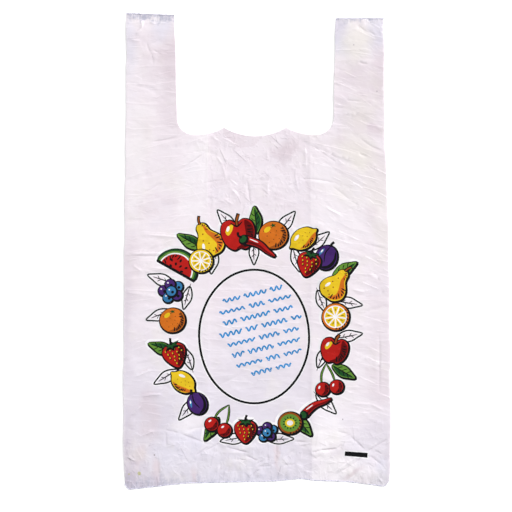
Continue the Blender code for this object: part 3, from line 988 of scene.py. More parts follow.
def citrus_slice(pen, rind, flesh):
    """A slice across a citrus fruit, with its rind, its white and its wedges."""
    parts = 9
    pen.shape(rind, oval(0, 0, 1, 1, 0, 36))
    pen.fill("white", oval(0, 0, 0.86, 0.86, 0, 32))
    for index in range(parts):
        a = 2 * math.pi * index / parts
        h = math.pi / parts * 0.78
        wedge = [(0.14 * math.cos(a), 0.14 * math.sin(a))]
        wedge += [(0.78 * math.cos(a + h * k), 0.78 * math.sin(a + h * k)) for k in (-1, -0.5, 0, 0.5, 1)]
        pen.fill(flesh, wedge)
        pen.stroke("black", [(r * math.cos(a), r * math.sin(a)) for r in (0.42, 0.64)], 0.8)
    pen.hatch(0, 0, 0.97, -100, 20, 9, 0.12)


def strawberry(pen):
    half = ((0, -1.15), (0.45, -0.8), (0.85, -0.15), (0.88, 0.4), (0.5, 0.75), (0, 0.7))
    pen.shape("red", curve_loop(mirrored(half)))
    pen.fill("maroon", curve_loop([(0.84, 0.4), (0.8, -0.12), (0.42, -0.75), (0, -1.08), (0.15, -0.45),
                                   (0.4, 0.15), (0.5, 0.55)], 4))
    for row, (y, count) in enumerate(((0.38, 4), (0.08, 4), (-0.22, 3), (-0.52, 2), (-0.8, 1))):
        for index in range(count):
            x = (index - (count - 1) / 2) * 0.38 + (0.06 if row % 2 else -0.06)
            pen.fill("black", oval(x + 0.03, y - 0.03, 0.08, 0.12, 0, 8))
            pen.fill("yellow", oval(x, y, 0.045, 0.08, 0, 8))
    pen.hatch(0, -0.1, 0.84, -55, 20, 6, 0.3)
    crown = []
    for index in range(12):
        r = 0.62 if index % 2 else 0.24
        a = math.radians(30 * index)
        crown.append((r * math.cos(a) * 1.1, 0.72 + r * math.sin(a) * 0.5))
    pen.shape("dark_green", crown)
    pen.stroke("black", [(0, 0.75), (0.02, 1.0), (0.12, 1.3)], 2.6, False)


def cherries(pen):
    pen.stroke("black", [(-0.5, -0.4), (-0.3, 0.5), (0.25, 1.25)], 3.0)
    pen.stroke("green", [(-0.5, -0.35), (-0.3, 0.5), (0.25, 1.2)], 1.1)
    pen.stroke("black", [(0.55, -0.5), (0.5, 0.4), (0.25, 1.25)], 3.0)
    pen.stroke("green", [(0.55, -0.45), (0.5, 0.4), (0.25, 1.2)], 1.1)
    for x, y in ((-0.5, -0.55), (0.55, -0.65)):
        pen.shape("red", oval(x, y, 0.5, 0.48, 0, 26))
        pen.fill("maroon", curve_loop([(x + 0.3, y + 0.34), (x + 0.46, y - 0.05), (x + 0.2, y - 0.42),
                                       (x - 0.2, y - 0.42), (x + 0.1, y - 0.2), (x + 0.2, y + 0.1)], 4))
        pen.hatch(x, y, 0.46, -80, 20, 4, 0.22, 1.0)
        pen.fill("white", oval(x - 0.2, y + 0.18, 0.07, 0.13, -35, 10))


def plum(pen):
    pen.shape("purple", oval(0, 0, 0.86, 1, 0, 34))
    pen.fill("black", curve_loop([(0.55, 0.7), (0.8, 0.2), (0.7, -0.5), (0.25, -0.93), (-0.3, -0.92),
                                  (0.3, -0.6), (0.6, 0.0)], 4))
    pen.fill("blue", curve_loop([(-0.4, 0.66), (-0.64, 0.3), (-0.66, -0.1), (-0.5, 0.1), (-0.36, 0.4)], 4))
    pen.stroke("black", [(0.02, 0.95), (-0.18, 0.3), (-0.02, -0.5)], 1.4)
    pen.fill("white", oval(-0.5, 0.4, 0.06, 0.16, -20, 12))
    pen.stroke("black", [(0, 0.95), (0.05, 1.2), (0.18, 1.4)], 3.0, False)


def berries(pen):
    spots = ((-0.55, 0.1), (0.5, 0.2), (0.0, 0.45), (-0.3, -0.45), (0.35, -0.4), (0.0, -0.05))
    for index, (x, y) in enumerate(spots):
        pen.shape("blue" if index % 2 else "purple", oval(x, y, 0.34, 0.34, 0, 20))
        pen.fill("white", oval(x - 0.12, y + 0.13, 0.06, 0.06, 0, 8))
        pen.fill("black", oval(x + 0.08, y - 0.08, 0.11, 0.11, 0, 8))


def melon_wedge(pen):
    def half_disc(radius):
        turns = np.linspace(math.pi, 2 * math.pi, 26)
        return [(radius * math.cos(t), 0.5 + radius * math.sin(t)) for t in turns]

    pen.shape("dark_green", half_disc(1.2))
    pen.fill("green", half_disc(1.1))
    pen.fill("white", half_disc(1.0))
    pen.fill("red", half_disc(0.92))
    pen.hatch(0, 0.5, 0.9, 280, 345, 6, 0.3)
    for index in range(7):
        t = math.pi + math.pi * (index + 0.7) / 7.4
        r = 0.62 if index % 2 else 0.36
        pen.fill("black", oval(r * math.cos(t), 0.5 + r * math.sin(t), 0.06, 0.1, math.degrees(t) + 90, 9))
    pen.stroke("black", [(-1.2, 0.5), (0, 0.5), (1.2, 0.5)], 2.0, False)


def kiwi(pen):
    pen.shape("brown", oval(0, 0, 1, 0.92, 0, 32))
    pen.fill("green", oval(0, 0, 0.84, 0.76, 0, 30))
    pen.fill("yellow", oval(0, 0, 0.42, 0.36, 0, 20))
    pen.fill("white", oval(0, 0, 0.27, 0.22, 0, 16))
    for index in range(13):
        t = 2 * math.pi * index / 13
        pen.fill("black", oval(0.54 * math.cos(t), 0.48 * math.sin(t), 0.1, 0.045, math.degrees(t), 8))
    pen.hatch(0, 0, 0.95, -90, 10, 7, 0.16)


def chilli(pen):
    """A bent red pod with its green cap."""
    line = curve_line([(-0.9, 0.75), (-0.35, 0.45), (0.2, 0.0), (0.6, -0.6), (1.05, -1.15)], 7)
    run = np.gradient(line, axis=0)
    normal = np.stack([-run[:, 1], run[:, 0]], 1) / np.linalg.norm(run, axis=1, keepdims=True)
    along = np.linspace(0, 1, len(line))[:, None]
    half = 0.3 * (1 - along) ** 0.55 + 0.02
    pen.shape("red", np.vstack([line + normal * half, (line - normal * half)[::-1]]))
    pen.fill("maroon", np.vstack([line - normal * half * 0.1, (line - normal * half * 0.85)[::-1]]))
    pen.stroke("white", [tuple(line[5] + normal[5] * 0.14), tuple(line[12] + normal[12] * 0.1)], 1.3)
    pen.shape("dark_green", oval(-0.92, 0.78, 0.3, 0.24, 40, 16))
    pen.stroke("black", [(-1.0, 0.9), (-1.2, 1.15), (-1.15, 1.4)], 2.8, False)


def wave_rows(layers, centre_x, centre_y, rows, drop, slope):
    """Rows of plain wavy strokes."""
    cos, sin = math.cos(slope), math.sin(slope)
    for row, strokes in enumerate(rows):
        start = -sum(strokes) / 2 - 2.2 * (len(strokes) - 1)
        for length in strokes:
            t = np.linspace(0, length, max(8, int(length / 0.7)))
            swing = 1.9 + 0.4 * math.sin(row * 1.9 + start)
            u = start + t + 0.5 * np.sin(t + 0.6)
            v = swing * np.sin(t + 0.3 * row) - row * drop
            line = np.stack([centre_x + u * cos - v * sin, centre_y + u * sin + v * cos], 1)
            layers.append(("sky", ribbon(line, 1.9, False)))
            start += length + 4.4


PRINT_X = -3.0
PRINT_Y = -96.0

# The garland: motif, place across and along from the print's middle, size, turn
LEAVES = (
    (bare_leaf, -30, 124, 16, 40), (leaf, 2, 126, 15, 5), (bare_leaf, 36, 122, 16, -40),
    (leaf, -72, 100, 16, 60), (bare_leaf, 72, 100, 16, -50), (bare_leaf, -104, 56, 16, 70),
    (leaf, 102, 68, 15, -60), (bare_leaf, -106, 16, 15, 110), (bare_leaf, 106, 30, 15, -100),
    (leaf, -104, -22, 15, 70), (bare_leaf, 106, -8, 15, -80), (bare_leaf, -98, -54, 15, 120),
    (leaf, 100, -48, 14, -120), (bare_leaf, -74, -90, 15, 140), (bare_leaf, 80, -84, 15, -135),
    (leaf, -48, -112, 14, 150), (bare_leaf, -22, -124, 15, 100), (bare_leaf, 28, -124, 15, -90),
    (leaf, 54, -108, 14, -140), (bare_leaf, -46, 78, 14, 170), (bare_leaf, 48, 80, 14, -165),
    (bare_leaf, -76, 36, 13, 165), (bare_leaf, 76, 32, 13, -160), (bare_leaf, -74, -34, 13, 20),
    (bare_leaf, 76, -32, 13, -20), (bare_leaf, 0, 88, 13, 180),
)
GARLAND = (
    (berries, -94, 44, 16, 10),
    (pear, 92, 50, 17, -35),
    (melon_wedge, -84, 76, 20, 150),
    (plum, 82, 82, 14, -20),
    (orange, -92, 10, 14, 0),
    (citrus_slice, 92, 14, 15, 10, "orange", "yellow"),
    (lemon, 56, 104, 14, 35),
    (pear, -52, 102, 18, 28),
    (strawberry, -90, -28, 14, 20),
    (apple, 90, -24, 15, -10),
    (apple, -18, 110, 19, 8),
    (orange, 22, 108, 16, 0),
    (citrus_slice, -60, 78, 13, 0, "yellow", "yellow"),
    (strawberry, 62, 76, 14, -15),
    (chilli, 4, 96, 15, 15),
    (lemon, -80, -60, 13, -40),
    (cherries, 82, -58, 15, 15),
    (plum, -64, -84, 12, 30),
    (chilli, 68, -88, 13, 75),
    (cherries, -38, -102, 15, -20),
    (kiwi, 40, -106, 13, 0),
    (berries, 14, -116, 13, 0),
    (strawberry, -10, -114, 13, 0),
)
STROKE_ROWS = (
    (20, 26, 14), (30, 18, 26), (16, 34, 22), (26, 14, 30, 12), (32, 24, 18), (14, 30, 26), (30, 16, 20),
    (24, 18),
)
# The dark bar at the lower right: its middle, its turn in degrees, and the half sizes of its two inks
BAR_PLACE = (111.8, -239.5)
BAR_TURN = -2.5
BAR_HALVES = (("halo", 14.2, 4.6), ("black", 12.8, 3.1))
# Small stains: colour, place and half size
STAINS = (
    ("olive", -133.0, -258.5, 1.9, 2.3), ("olive", -144.5, -258.5, 1.1, 0.9),
    ("grey", -115.0, -238.5, 0.9, 1.0), ("grey", 96.0, -198.0, 0.8, 0.8), ("grey", 141.5, 181.0, 0.8, 0.8),
    ("grey", 114.5, 239.5, 0.7, 0.7),
)


def print_layers():
    """Every inked outline of the print in painting order, in the flat bag's millimetres."""
    layers = []
    plate = oval(PRINT_X, PRINT_Y - 8, 62, 76, 0, 72)
    layers.append(("halo", ring(plate, 4.4)))
    layers.append(("black", ring(plate, 2.5)))
    wave_rows(layers, PRINT_X - 2, PRINT_Y + 40, STROKE_ROWS, 12.6, math.radians(14))
    for motif, x, y, size, turn in LEAVES:
        motif(Pen(layers, PRINT_X + x, PRINT_Y + y, size, turn))
    for motif, x, y, size, turn, *inks in GARLAND:
        motif(Pen(layers, PRINT_X + x, PRINT_Y + y, size, turn), *inks)
    bar = Pen(layers, *BAR_PLACE, 1.0, BAR_TURN)
    for ink, across, along in BAR_HALVES:
        bar.fill(ink, [(-across, -along), (across, -along), (across, along), (-across, along)])
    for ink, x, y, half_x, half_y in STAINS:
        layers.append((ink, oval(x, y, half_x, half_y, 20, 10)))
    halos = [layer for layer in layers if layer[0] == "halo"]
    return [("white", shape) for _, shape in halos] + [layer for layer in layers if layer[0] != "halo"]


def seen_lines(layers):
    """The stretches of the inked outlines that no later shape covers."""
    lines = []
    boxes = [(shape.min(0), shape.max(0)) for _, shape in layers]
    for index, (_, shape) in enumerate(layers):
        shape = np.array(spaced(shape, 2.2, closed=True))
        hidden = np.zeros(len(shape), bool)
        low, high = boxes[index]
        for later in range(index + 1, len(layers)):
            if (boxes[later][0] > high).any() or (boxes[later][1] < low).any():
                continue
            hidden |= inside(shape[:, 0], shape[:, 1], layers[later][1])
        if not hidden.any():
            lines.append((shape, True))
            continue
        keep = ~(hidden & np.roll(hidden, 1) & np.roll(hidden, -1))
        run = []
        start = int(np.argmin(keep))
        for step in range(len(shape) + 1):
            place = (start + step) % len(shape)
            if keep[place] and step < len(shape):
                run.append(shape[place])
            else:
                if len(run) > 1:
                    lines.append((np.array(run), False))
                run = []
    return lines


def inks_of(middles, layers):
    """The ink on each place: the last shape painted over it, or -1."""
    found = np.full(len(middles), -1)
    x, y = middles[:, 0], middles[:, 1]
    for ink, shape in layers:
        found[inside(x, y, shape)] = INK_NAMES.index(ink)
    return found


INKS = {
    "black": (0.003, 0.003, 0.004),
    "white": (0.93, 0.91, 0.94),
    "red": (0.47, 0.013, 0.01),
    "maroon": (0.12, 0.002, 0.003),
    "orange": (0.66, 0.165, 0.015),
    "yellow": (0.82, 0.56, 0.02),
    "green": (0.13, 0.29, 0.04),
    "dark_green": (0.012, 0.075, 0.018),
    "blue": (0.04, 0.20, 0.42),
    "sky": (0.03, 0.27, 0.62),
    "purple": (0.06, 0.02, 0.15),
    "brown": (0.30, 0.075, 0.01),
    "olive": (0.55, 0.53, 0.33),
    "grey": (0.50, 0.44, 0.49),
}
INK_NAMES = list(INKS)


# Materials


def value_node(tree, operation, *inputs, clamp=False):
    node = tree.nodes.new("ShaderNodeMath")
    node.operation = operation
    node.use_clamp = clamp
    for socket, value in zip(node.inputs, inputs):
        if isinstance(value, bpy.types.NodeSocket):
            tree.links.new(value, socket)
        else:
            socket.default_value = value
    return node.outputs[0]


def times(tree, first, second, clamp=False):
    return value_node(tree, "MULTIPLY", first, second, clamp=clamp)


def plus(tree, first, second, clamp=False):
    return value_node(tree, "ADD", first, second, clamp=clamp)


def minus(tree, first, second):
    return value_node(tree, "SUBTRACT", first, second)


def size_of(tree, value):
    return value_node(tree, "ABSOLUTE", value)


def mixed_colour(tree, share, first, second):
    node = tree.nodes.new("ShaderNodeMix")
    node.data_type = "RGBA"
    for index, value in ((0, share), (6, first), (7, second)):
        if isinstance(value, bpy.types.NodeSocket):
            tree.links.new(value, node.inputs[index])
        elif index:
            node.inputs[index].default_value = (*value[:3], 1.0)
        else:
            node.inputs[index].default_value = value
    return node.outputs[2]


def noise_node(tree, vector, scale, detail, roughness=0.5, distortion=0.0):
    node = tree.nodes.new("ShaderNodeTexNoise")
    tree.links.new(vector, node.inputs["Vector"])
    node.inputs["Scale"].default_value = scale
    node.inputs["Detail"].default_value = detail
    node.inputs["Roughness"].default_value = roughness
    node.inputs["Distortion"].default_value = distortion
    return node.outputs["Fac"]


def ranged(tree, value, low, high, first=0.0, last=1.0, soft=True):
    node = tree.nodes.new("ShaderNodeMapRange")
    node.interpolation_type = "SMOOTHSTEP" if soft else "LINEAR"
    tree.links.new(value, node.inputs["Value"])
    for name, number in (("From Min", low), ("From Max", high), ("To Min", first), ("To Max", last)):
        node.inputs[name].default_value = number
    return node.outputs["Result"]


def ridges(tree, vector, stretch, scale, detail, thin=5.0):
    """Thin crests that wander through the film, as a value from 0 to 1."""
    turned = tree.nodes.new("ShaderNodeMapping")
    turned.inputs["Scale"].default_value = stretch
    tree.links.new(vector, turned.inputs["Vector"])
    noise = noise_node(tree, turned.outputs[0], scale, detail, 0.5, 0.2)
    off = size_of(tree, minus(tree, noise, 0.5))
    return minus(tree, 1.0, times(tree, off, thin, clamp=True))


def creases(tree, vector, scale, stretch, spread, steep, gentle):
    """Short straight creases, one to a cell of film and steep on one side, and a tone for each cell that
    serves as its painted light and shade.
    """
    drawn_out = tree.nodes.new("ShaderNodeMapping")
    drawn_out.inputs["Scale"].default_value = (stretch, 1.0, 1.0)
    tree.links.new(vector, drawn_out.inputs["Vector"])
    cells = tree.nodes.new("ShaderNodeTexVoronoi")
    cells.voronoi_dimensions = "2D"
    cells.inputs["Scale"].default_value = scale
    tree.links.new(drawn_out.outputs[0], cells.inputs["Vector"])
    away = tree.nodes.new("ShaderNodeVectorMath")
    away.operation = "SUBTRACT"
    tree.links.new(drawn_out.outputs[0], away.inputs[0])
    tree.links.new(cells.outputs["Position"], away.inputs[1])
    chance = tree.nodes.new("ShaderNodeSeparateXYZ")
    tree.links.new(cells.outputs["Color"], chance.inputs[0])
    turned = tree.nodes.new("ShaderNodeVectorRotate")
    turned.rotation_type = "Z_AXIS"
    tree.links.new(away.outputs[0], turned.inputs["Vector"])
    turn = times(tree, minus(tree, chance.outputs["X"], 0.5), spread)
    tree.links.new(turn, turned.inputs["Angle"])
    parts = tree.nodes.new("ShaderNodeSeparateXYZ")
    tree.links.new(turned.outputs[0], parts.inputs[0])
    off = parts.outputs["Y"]
    near = times(tree, value_node(tree, "MAXIMUM", off, 0.0), 1.0 / steep)
    far = times(tree, value_node(tree, "MINIMUM", off, 0.0), -1.0 / gentle)
    drop = value_node(tree, "EXPONENT", times(tree, plus(tree, near, far), -1.0))
    fade = ranged(tree, cells.outputs["Distance"], 0.62, 0.2)
    share = ranged(tree, chance.outputs["Y"], 0.2, 1.0, 0.0, 1.0, soft=False)
    height = times(tree, times(tree, drop, fade), share)
    return height, chance.outputs["Z"]


# Two kinds of creases, drawn out along the pull and crumpled: cells to a metre, stretch, spread of turn,
# fall on the steep and on the gentle side, height
DRAWN_CREASES = (
    (42.0, 0.42, 0.9, 0.0005, 0.004, 2.2), (85.0, 0.42, 1.3, 0.0004, 0.0025, 2.0),
    (150.0, 0.5, 2.2, 0.0004, 0.0015, 1.2),
)
CRUMPLED_CREASES = (
    (48.0, 1.0, 2 * math.pi, 0.0005, 0.005, 3.0), (95.0, 1.0, 2 * math.pi, 0.0005, 0.003, 2.4),
    (190.0, 1.0, 2 * math.pi, 0.0004, 0.0015, 1.4),
)


def layered(tree, vector, rows, total=None):
    """Creases of several sizes added up, and the tone of the second size's cells, which paints light and
    shade on the facets.
    """
    tones = []
    for scale, stretch, spread, steep, gentle, share in rows:
        height, tone = creases(tree, vector, scale, stretch, spread, steep, gentle)
        height = times(tree, height, share)
        total = height if total is None else plus(tree, total, height)
        tones.append(tone)
    return total, tones[1]


def crinkle_group():
    """Fine crackle of thin film: its height, its pleats beside a weld, its soft clouds and the painted light
    and shade of its facets.
    """
    group = bpy.data.node_groups.new("film_crackle", "ShaderNodeTree")
    for name, kind in (("Vector", "Vector"), ("Flow", "Vector"), ("Crumple", "Float")):
        group.interface.new_socket(name, in_out="INPUT", socket_type="NodeSocket" + kind)
    for name in ("Height", "Pleats", "Cloud", "FacetShade"):
        group.interface.new_socket(name, in_out="OUTPUT", socket_type="NodeSocketFloat")
    start = group.nodes.new("NodeGroupInput")
    end = group.nodes.new("NodeGroupOutput")
    place, flow = start.outputs["Vector"], start.outputs["Flow"]
    fine = times(group, ridges(group, flow, (0.3, 1.0, 1.0), 210.0, 2.0, 7.0), 0.22)
    drawn, pulled = layered(group, flow, DRAWN_CREASES, fine)
    crumpled, folded = layered(group, place, CRUMPLED_CREASES)
    crumple = start.outputs["Crumple"]
    busy = times(group, crumpled, crumple)
    calm = minus(group, 1.0, times(group, crumple, 0.7))
    height = plus(group, busy, times(group, drawn, calm))
    # Painted light and shade: a tone for each crease cell that lightens or darkens it
    facet_shade = plus(group, times(group, folded, crumple), times(group, pulled, calm))
    group.links.new(height, end.inputs["Height"])
    group.links.new(facet_shade, end.inputs["FacetShade"])
    group.links.new(ridges(group, place, (1.0, 0.12, 1.0), 420.0, 1.0), end.inputs["Pleats"])
    group.links.new(noise_node(group, place, 24.0, 5.0, 0.62), end.inputs["Cloud"])
    return group


def patch_share(tree, place, x, y, half_x, half_y, turn):
    """1 in the middle of a soft oval, 0 outside it."""
    oval_place = tree.nodes.new("ShaderNodeMapping")
    oval_place.vector_type = "TEXTURE"
    oval_place.inputs["Location"].default_value = (x * MM, y * MM, 0.0)
    oval_place.inputs["Rotation"].default_value = (0.0, 0.0, math.radians(turn))
    oval_place.inputs["Scale"].default_value = (half_x * MM, half_y * MM, 1.0)
    tree.links.new(place, oval_place.inputs["Vector"])
    fall = tree.nodes.new("ShaderNodeTexGradient")
    fall.gradient_type = "SPHERICAL"
    tree.links.new(oval_place.outputs[0], fall.inputs["Vector"])
    return ranged(tree, fall.outputs["Fac"], 0.0, 0.75)


def tint_and_shade_group():
    """Where the film looks creamy or bluish, where shade and light are painted on it, and its violet patches
    of dirt and painted shade, as soft patches.
    """
    group = bpy.data.node_groups.new("film_tint_and_shade", "ShaderNodeTree")
    group.interface.new_socket("Vector", in_out="INPUT", socket_type="NodeSocketVector")
    for name in PATCHES:
        group.interface.new_socket(name, in_out="OUTPUT", socket_type="NodeSocketFloat")
    start = group.nodes.new("NodeGroupInput")
    end = group.nodes.new("NodeGroupOutput")
    wander = group.nodes.new("ShaderNodeTexNoise")
    wander.inputs["Scale"].default_value = 38.0
    wander.inputs["Detail"].default_value = 3.0
    group.links.new(start.outputs[0], wander.inputs["Vector"])
    shift = group.nodes.new("ShaderNodeVectorMath")
    shift.operation = "MULTIPLY_ADD"
    group.links.new(wander.outputs["Color"], shift.inputs[0])
    shift.inputs[1].default_value = (0.022, 0.022, 0.0)
    group.links.new(start.outputs[0], shift.inputs[2])
    centred = group.nodes.new("ShaderNodeVectorMath")
    centred.operation = "SUBTRACT"
    group.links.new(shift.outputs[0], centred.inputs[0])
    centred.inputs[1].default_value = (0.011, 0.011, 0.0)
    for name, patches in PATCHES.items():
        total = None
        for x, y, half_x, half_y, turn, strength in patches:
            share = patch_share(group, centred.outputs[0], x, y, half_x, half_y, turn)
            share = times(group, share, strength)
            total = share if total is None else value_node(group, "MAXIMUM", total, share)
        group.links.new(total, end.inputs[name])
    return group


def new_material(name):
    material = bpy.data.materials.new(name)
    material.use_nodes = True
    return material, material.node_tree, material.node_tree.nodes["Principled BSDF"]


def object_place(tree):
    """The place on the bag in metres, and its parts across and along the bag."""
    place = tree.nodes.new("ShaderNodeTexCoord").outputs["Object"]
    parts = tree.nodes.new("ShaderNodeSeparateXYZ")
    tree.links.new(place, parts.inputs[0])
    return place, parts.outputs["X"], parts.outputs["Y"]


def add_crackle(tree, shader, place, x, y, group, distance):
    """The crackle as bump, busier at the mouth and the base; gives its clouds, pleats and the painted light
    and shade of its facets.
    """
    crackle = tree.nodes.new("ShaderNodeGroup")
    crackle.node_tree = group
    tree.links.new(place, crackle.inputs["Vector"])
    flow = tree.nodes.new("ShaderNodeAttribute")
    flow.attribute_name = "fold_flow"
    tree.links.new(flow.outputs["Vector"], crackle.inputs["Flow"])
    middle = ranged(tree, size_of(tree, x), 0.085, 0.03)
    mouth = times(tree, middle, ranged(tree, y, 0.0, 0.07))
    base = ranged(tree, y, -0.18, -0.24)
    busy = plus(tree, value_node(tree, "MAXIMUM", mouth, base), 0.12, clamp=True)
    tree.links.new(busy, crackle.inputs["Crumple"])
    beside = ranged(tree, size_of(tree, y), 0.256, 0.268, 0.0, 1.2)
    pleats = times(tree, crackle.outputs["Pleats"], beside)
    bump = tree.nodes.new("ShaderNodeBump")
    bump.inputs["Strength"].default_value = 1.0
    bump.inputs["Distance"].default_value = distance
    tree.links.new(plus(tree, crackle.outputs["Height"], pleats), bump.inputs["Height"])
    tree.links.new(bump.outputs["Normal"], shader.inputs["Normal"])
    return crackle.outputs["Cloud"], crackle.outputs["Pleats"], crackle.outputs["FacetShade"]


# Half the width over which the colour changes at a gusset's inner fold
GUSSET_EDGE = 0.4
# How strongly the bare back under the pulled lip is darkened, a painted shade
SINGLE_PLY_SHADE = 0.65
FILM_IOR = 1.5


def film_material(name, settings, groups, single=False):
    """Thin white film with a lilac cast: paler over the gussets, greyer where it is welded, with painted
    light and shade on its crests, valleys, facets and patches.
    """
    material, tree, shader = new_material(name)
    place, x, y = object_place(tree)
    distance = settings.crackle_height * MM
    cloud, pleats, facet_shade = add_crackle(tree, shader, place, x, y, groups["crackle"], distance)
    edge = GUSSET_EDGE * MM
    left = ranged(tree, x, LEFT_FOLD_X * MM + edge, LEFT_FOLD_X * MM - edge)
    right = ranged(tree, x, RIGHT_FOLD_X * MM - edge, RIGHT_FOLD_X * MM + edge)
    four_plies = plus(tree, left, right, clamp=True)
    colour = mixed_colour(tree, four_plies, settings.film_colour, settings.gusset_colour)
    # Painted shade on the bare back under the pulled lip
    if single:
        colour = mixed_colour(tree, SINGLE_PLY_SHADE, colour, settings.painted_shade_colour)
    # Violet and darker towards the base, most on the left: a painted shade
    low = ranged(tree, y, -0.02, -0.23)
    low = times(tree, low, ranged(tree, x, 0.10, 0.02, 0.25, 0.85))
    colour = mixed_colour(tree, low, colour, settings.violet_colour)
    cast = tree.nodes.new("ShaderNodeGroup")
    cast.node_tree = groups["cast"]
    tree.links.new(place, cast.inputs["Vector"])
    # Tints of the film, painted shade, painted light, and dirt with painted shade
    targets = (
        ("Cool", settings.cool_colour), ("Cream", settings.warm_colour), ("PaintedLight", settings.painted_light_colour),
        ("PaintedShade", settings.painted_shade_colour), ("DirtAndShade", settings.dirt_and_shade_colour),
    )
    for output, target in targets:
        share = cast.outputs[output]
        # The painted light is laid only where the gussets lie under the front
        if output == "PaintedLight":
            share = times(tree, share, four_plies)
        colour = mixed_colour(tree, share, colour, target)
    # Random cloud tints of the film, then painted light and shade that lighten or darken whole facets
    tints_and_facet_shade = (
        (cloud, 0.5, 0.72, 0.35, True, settings.warm_colour),
        (cloud, 0.48, 0.3, 0.2, True, settings.cool_colour),
        (facet_shade, 0.5, 0.95, 0.16, False, settings.painted_light_colour),
        (facet_shade, 0.5, 0.05, 0.12, False, settings.painted_shade_colour),
    )
    for value, low, high, most, soft, target in tints_and_facet_shade:
        share = ranged(tree, value, low, high, 0.0, most, soft)
        colour = mixed_colour(tree, share, colour, target)
    # Greyer along the welds, which also paints the shade among the gathered pleats there
    blotch = noise_node(tree, place, 130.0, 2.0, 0.6)
    ragged = times(tree, minus(tree, blotch, 0.5), 0.035)
    top = ranged(tree, plus(tree, y, ragged), 0.259, 0.271)
    base = ranged(tree, minus(tree, y, ragged), -0.255, -0.2715)
    base = times(tree, base, ranged(tree, x, 0.06, 0.064, 0.7, 0.25))
    weld = plus(tree, top, base, clamp=True)
    patchy = ranged(tree, plus(tree, pleats, blotch), 0.4, 1.4, 0.3, 0.9, soft=False)
    weld = times(tree, weld, patchy)
    colour = mixed_colour(tree, weld, colour, settings.weld_and_shade_colour)
    # A painted highlight on convex crests, where stretched film also whitens, and painted shade in the
    # valleys, from the mesh's pointiness
    form = tree.nodes.new("ShaderNodeNewGeometry").outputs["Pointiness"]
    crest = ranged(tree, form, 0.506, 0.535, 0.0, 0.6)
    colour = mixed_colour(tree, crest, colour, settings.painted_light_colour)
    valley_shade = ranged(tree, form, 0.494, 0.468, 0.0, 0.5)
    colour = mixed_colour(tree, valley_shade, colour, settings.painted_shade_colour)
    tree.links.new(colour, shader.inputs["Base Color"])
    rough = ranged(tree, cloud, 0.3, 0.7, 0.27, 0.4, soft=False)
    tree.links.new(rough, shader.inputs["Roughness"])
    shader.inputs["Alpha"].default_value = settings.film_alpha
    shader.inputs["IOR"].default_value = FILM_IOR
    return material


def ink_material(name, colour, settings, groups):
    """Printed ink with small starved spots, over the same crackle as the film."""
    material, tree, shader = new_material("ink_" + name)
    place, x, y = object_place(tree)
    add_crackle(tree, shader, place, x, y, groups["crackle"], settings.crackle_height * MM)
    grain = noise_node(tree, place, 900.0, 2.0, 0.6)
    starved = ranged(tree, grain, 0.66, 0.78, 0.0, 0.3)
    broad = noise_node(tree, place, 60.0, 3.0, 0.5)
    deep = tuple(c * 0.86 for c in colour)
    pale = tuple(c + (0.86 - c) * 0.25 for c in colour)
    tone = mixed_colour(tree, ranged(tree, broad, 0.35, 0.65), deep, colour)
    tree.links.new(mixed_colour(tree, starved, tone, pale), shader.inputs["Base Color"])
    rough = ranged(tree, broad, 0.3, 0.7, 0.42, 0.55, soft=False)
    tree.links.new(rough, shader.inputs["Roughness"])
    shader.inputs["Specular IOR Level"].default_value = 0.08
    return material


def weld_material(settings, groups):
    """Film melted solid: greyer, glossier and nearly smooth."""
    material, tree, shader = new_material("melted_film")
    place, x, y = object_place(tree)
    distance = 0.2 * settings.crackle_height * MM
    cloud, pleats, _ = add_crackle(tree, shader, place, x, y, groups["crackle"], distance)
    tone = ranged(tree, pleats, 0.2, 0.9)
    colour = mixed_colour(tree, tone, settings.weld_and_shade_colour, settings.cool_colour)
    tree.links.new(colour, shader.inputs["Base Color"])
    tree.links.new(ranged(tree, cloud, 0.3, 0.7, 0.2, 0.35, soft=False), shader.inputs["Roughness"])
    shader.inputs["IOR"].default_value = FILM_IOR
    return material


# Building


def mesh_object(name, points, faces, flow=None):
    """A smooth mesh object from millimetre points, with its fold coordinates where it has them."""
    mesh = bpy.data.meshes.new(name)
    points = np.asarray(points, float) * MM
    faces = np.asarray(faces, int)
    mesh.vertices.add(len(points))
    mesh.vertices.foreach_set("co", points.astype(np.float32).ravel())
    mesh.loops.add(faces.size)
    mesh.loops.foreach_set("vertex_index", faces.ravel())
    mesh.polygons.add(len(faces))
    mesh.polygons.foreach_set("loop_start", np.arange(0, faces.size, 3))
    mesh.polygons.foreach_set("loop_total", np.full(len(faces), 3))
    mesh.update(calc_edges=True)
    if flow is None:
        flow = points
    kept = mesh.attributes.new("fold_flow", "FLOAT_VECTOR", "POINT")
    kept.data.foreach_set("vector", np.asarray(flow, np.float32).ravel())
    mesh.validate()
    mesh.shade_smooth()
    made = bpy.data.objects.new(name, mesh)
    bpy.context.scene.collection.objects.link(made)
    return made


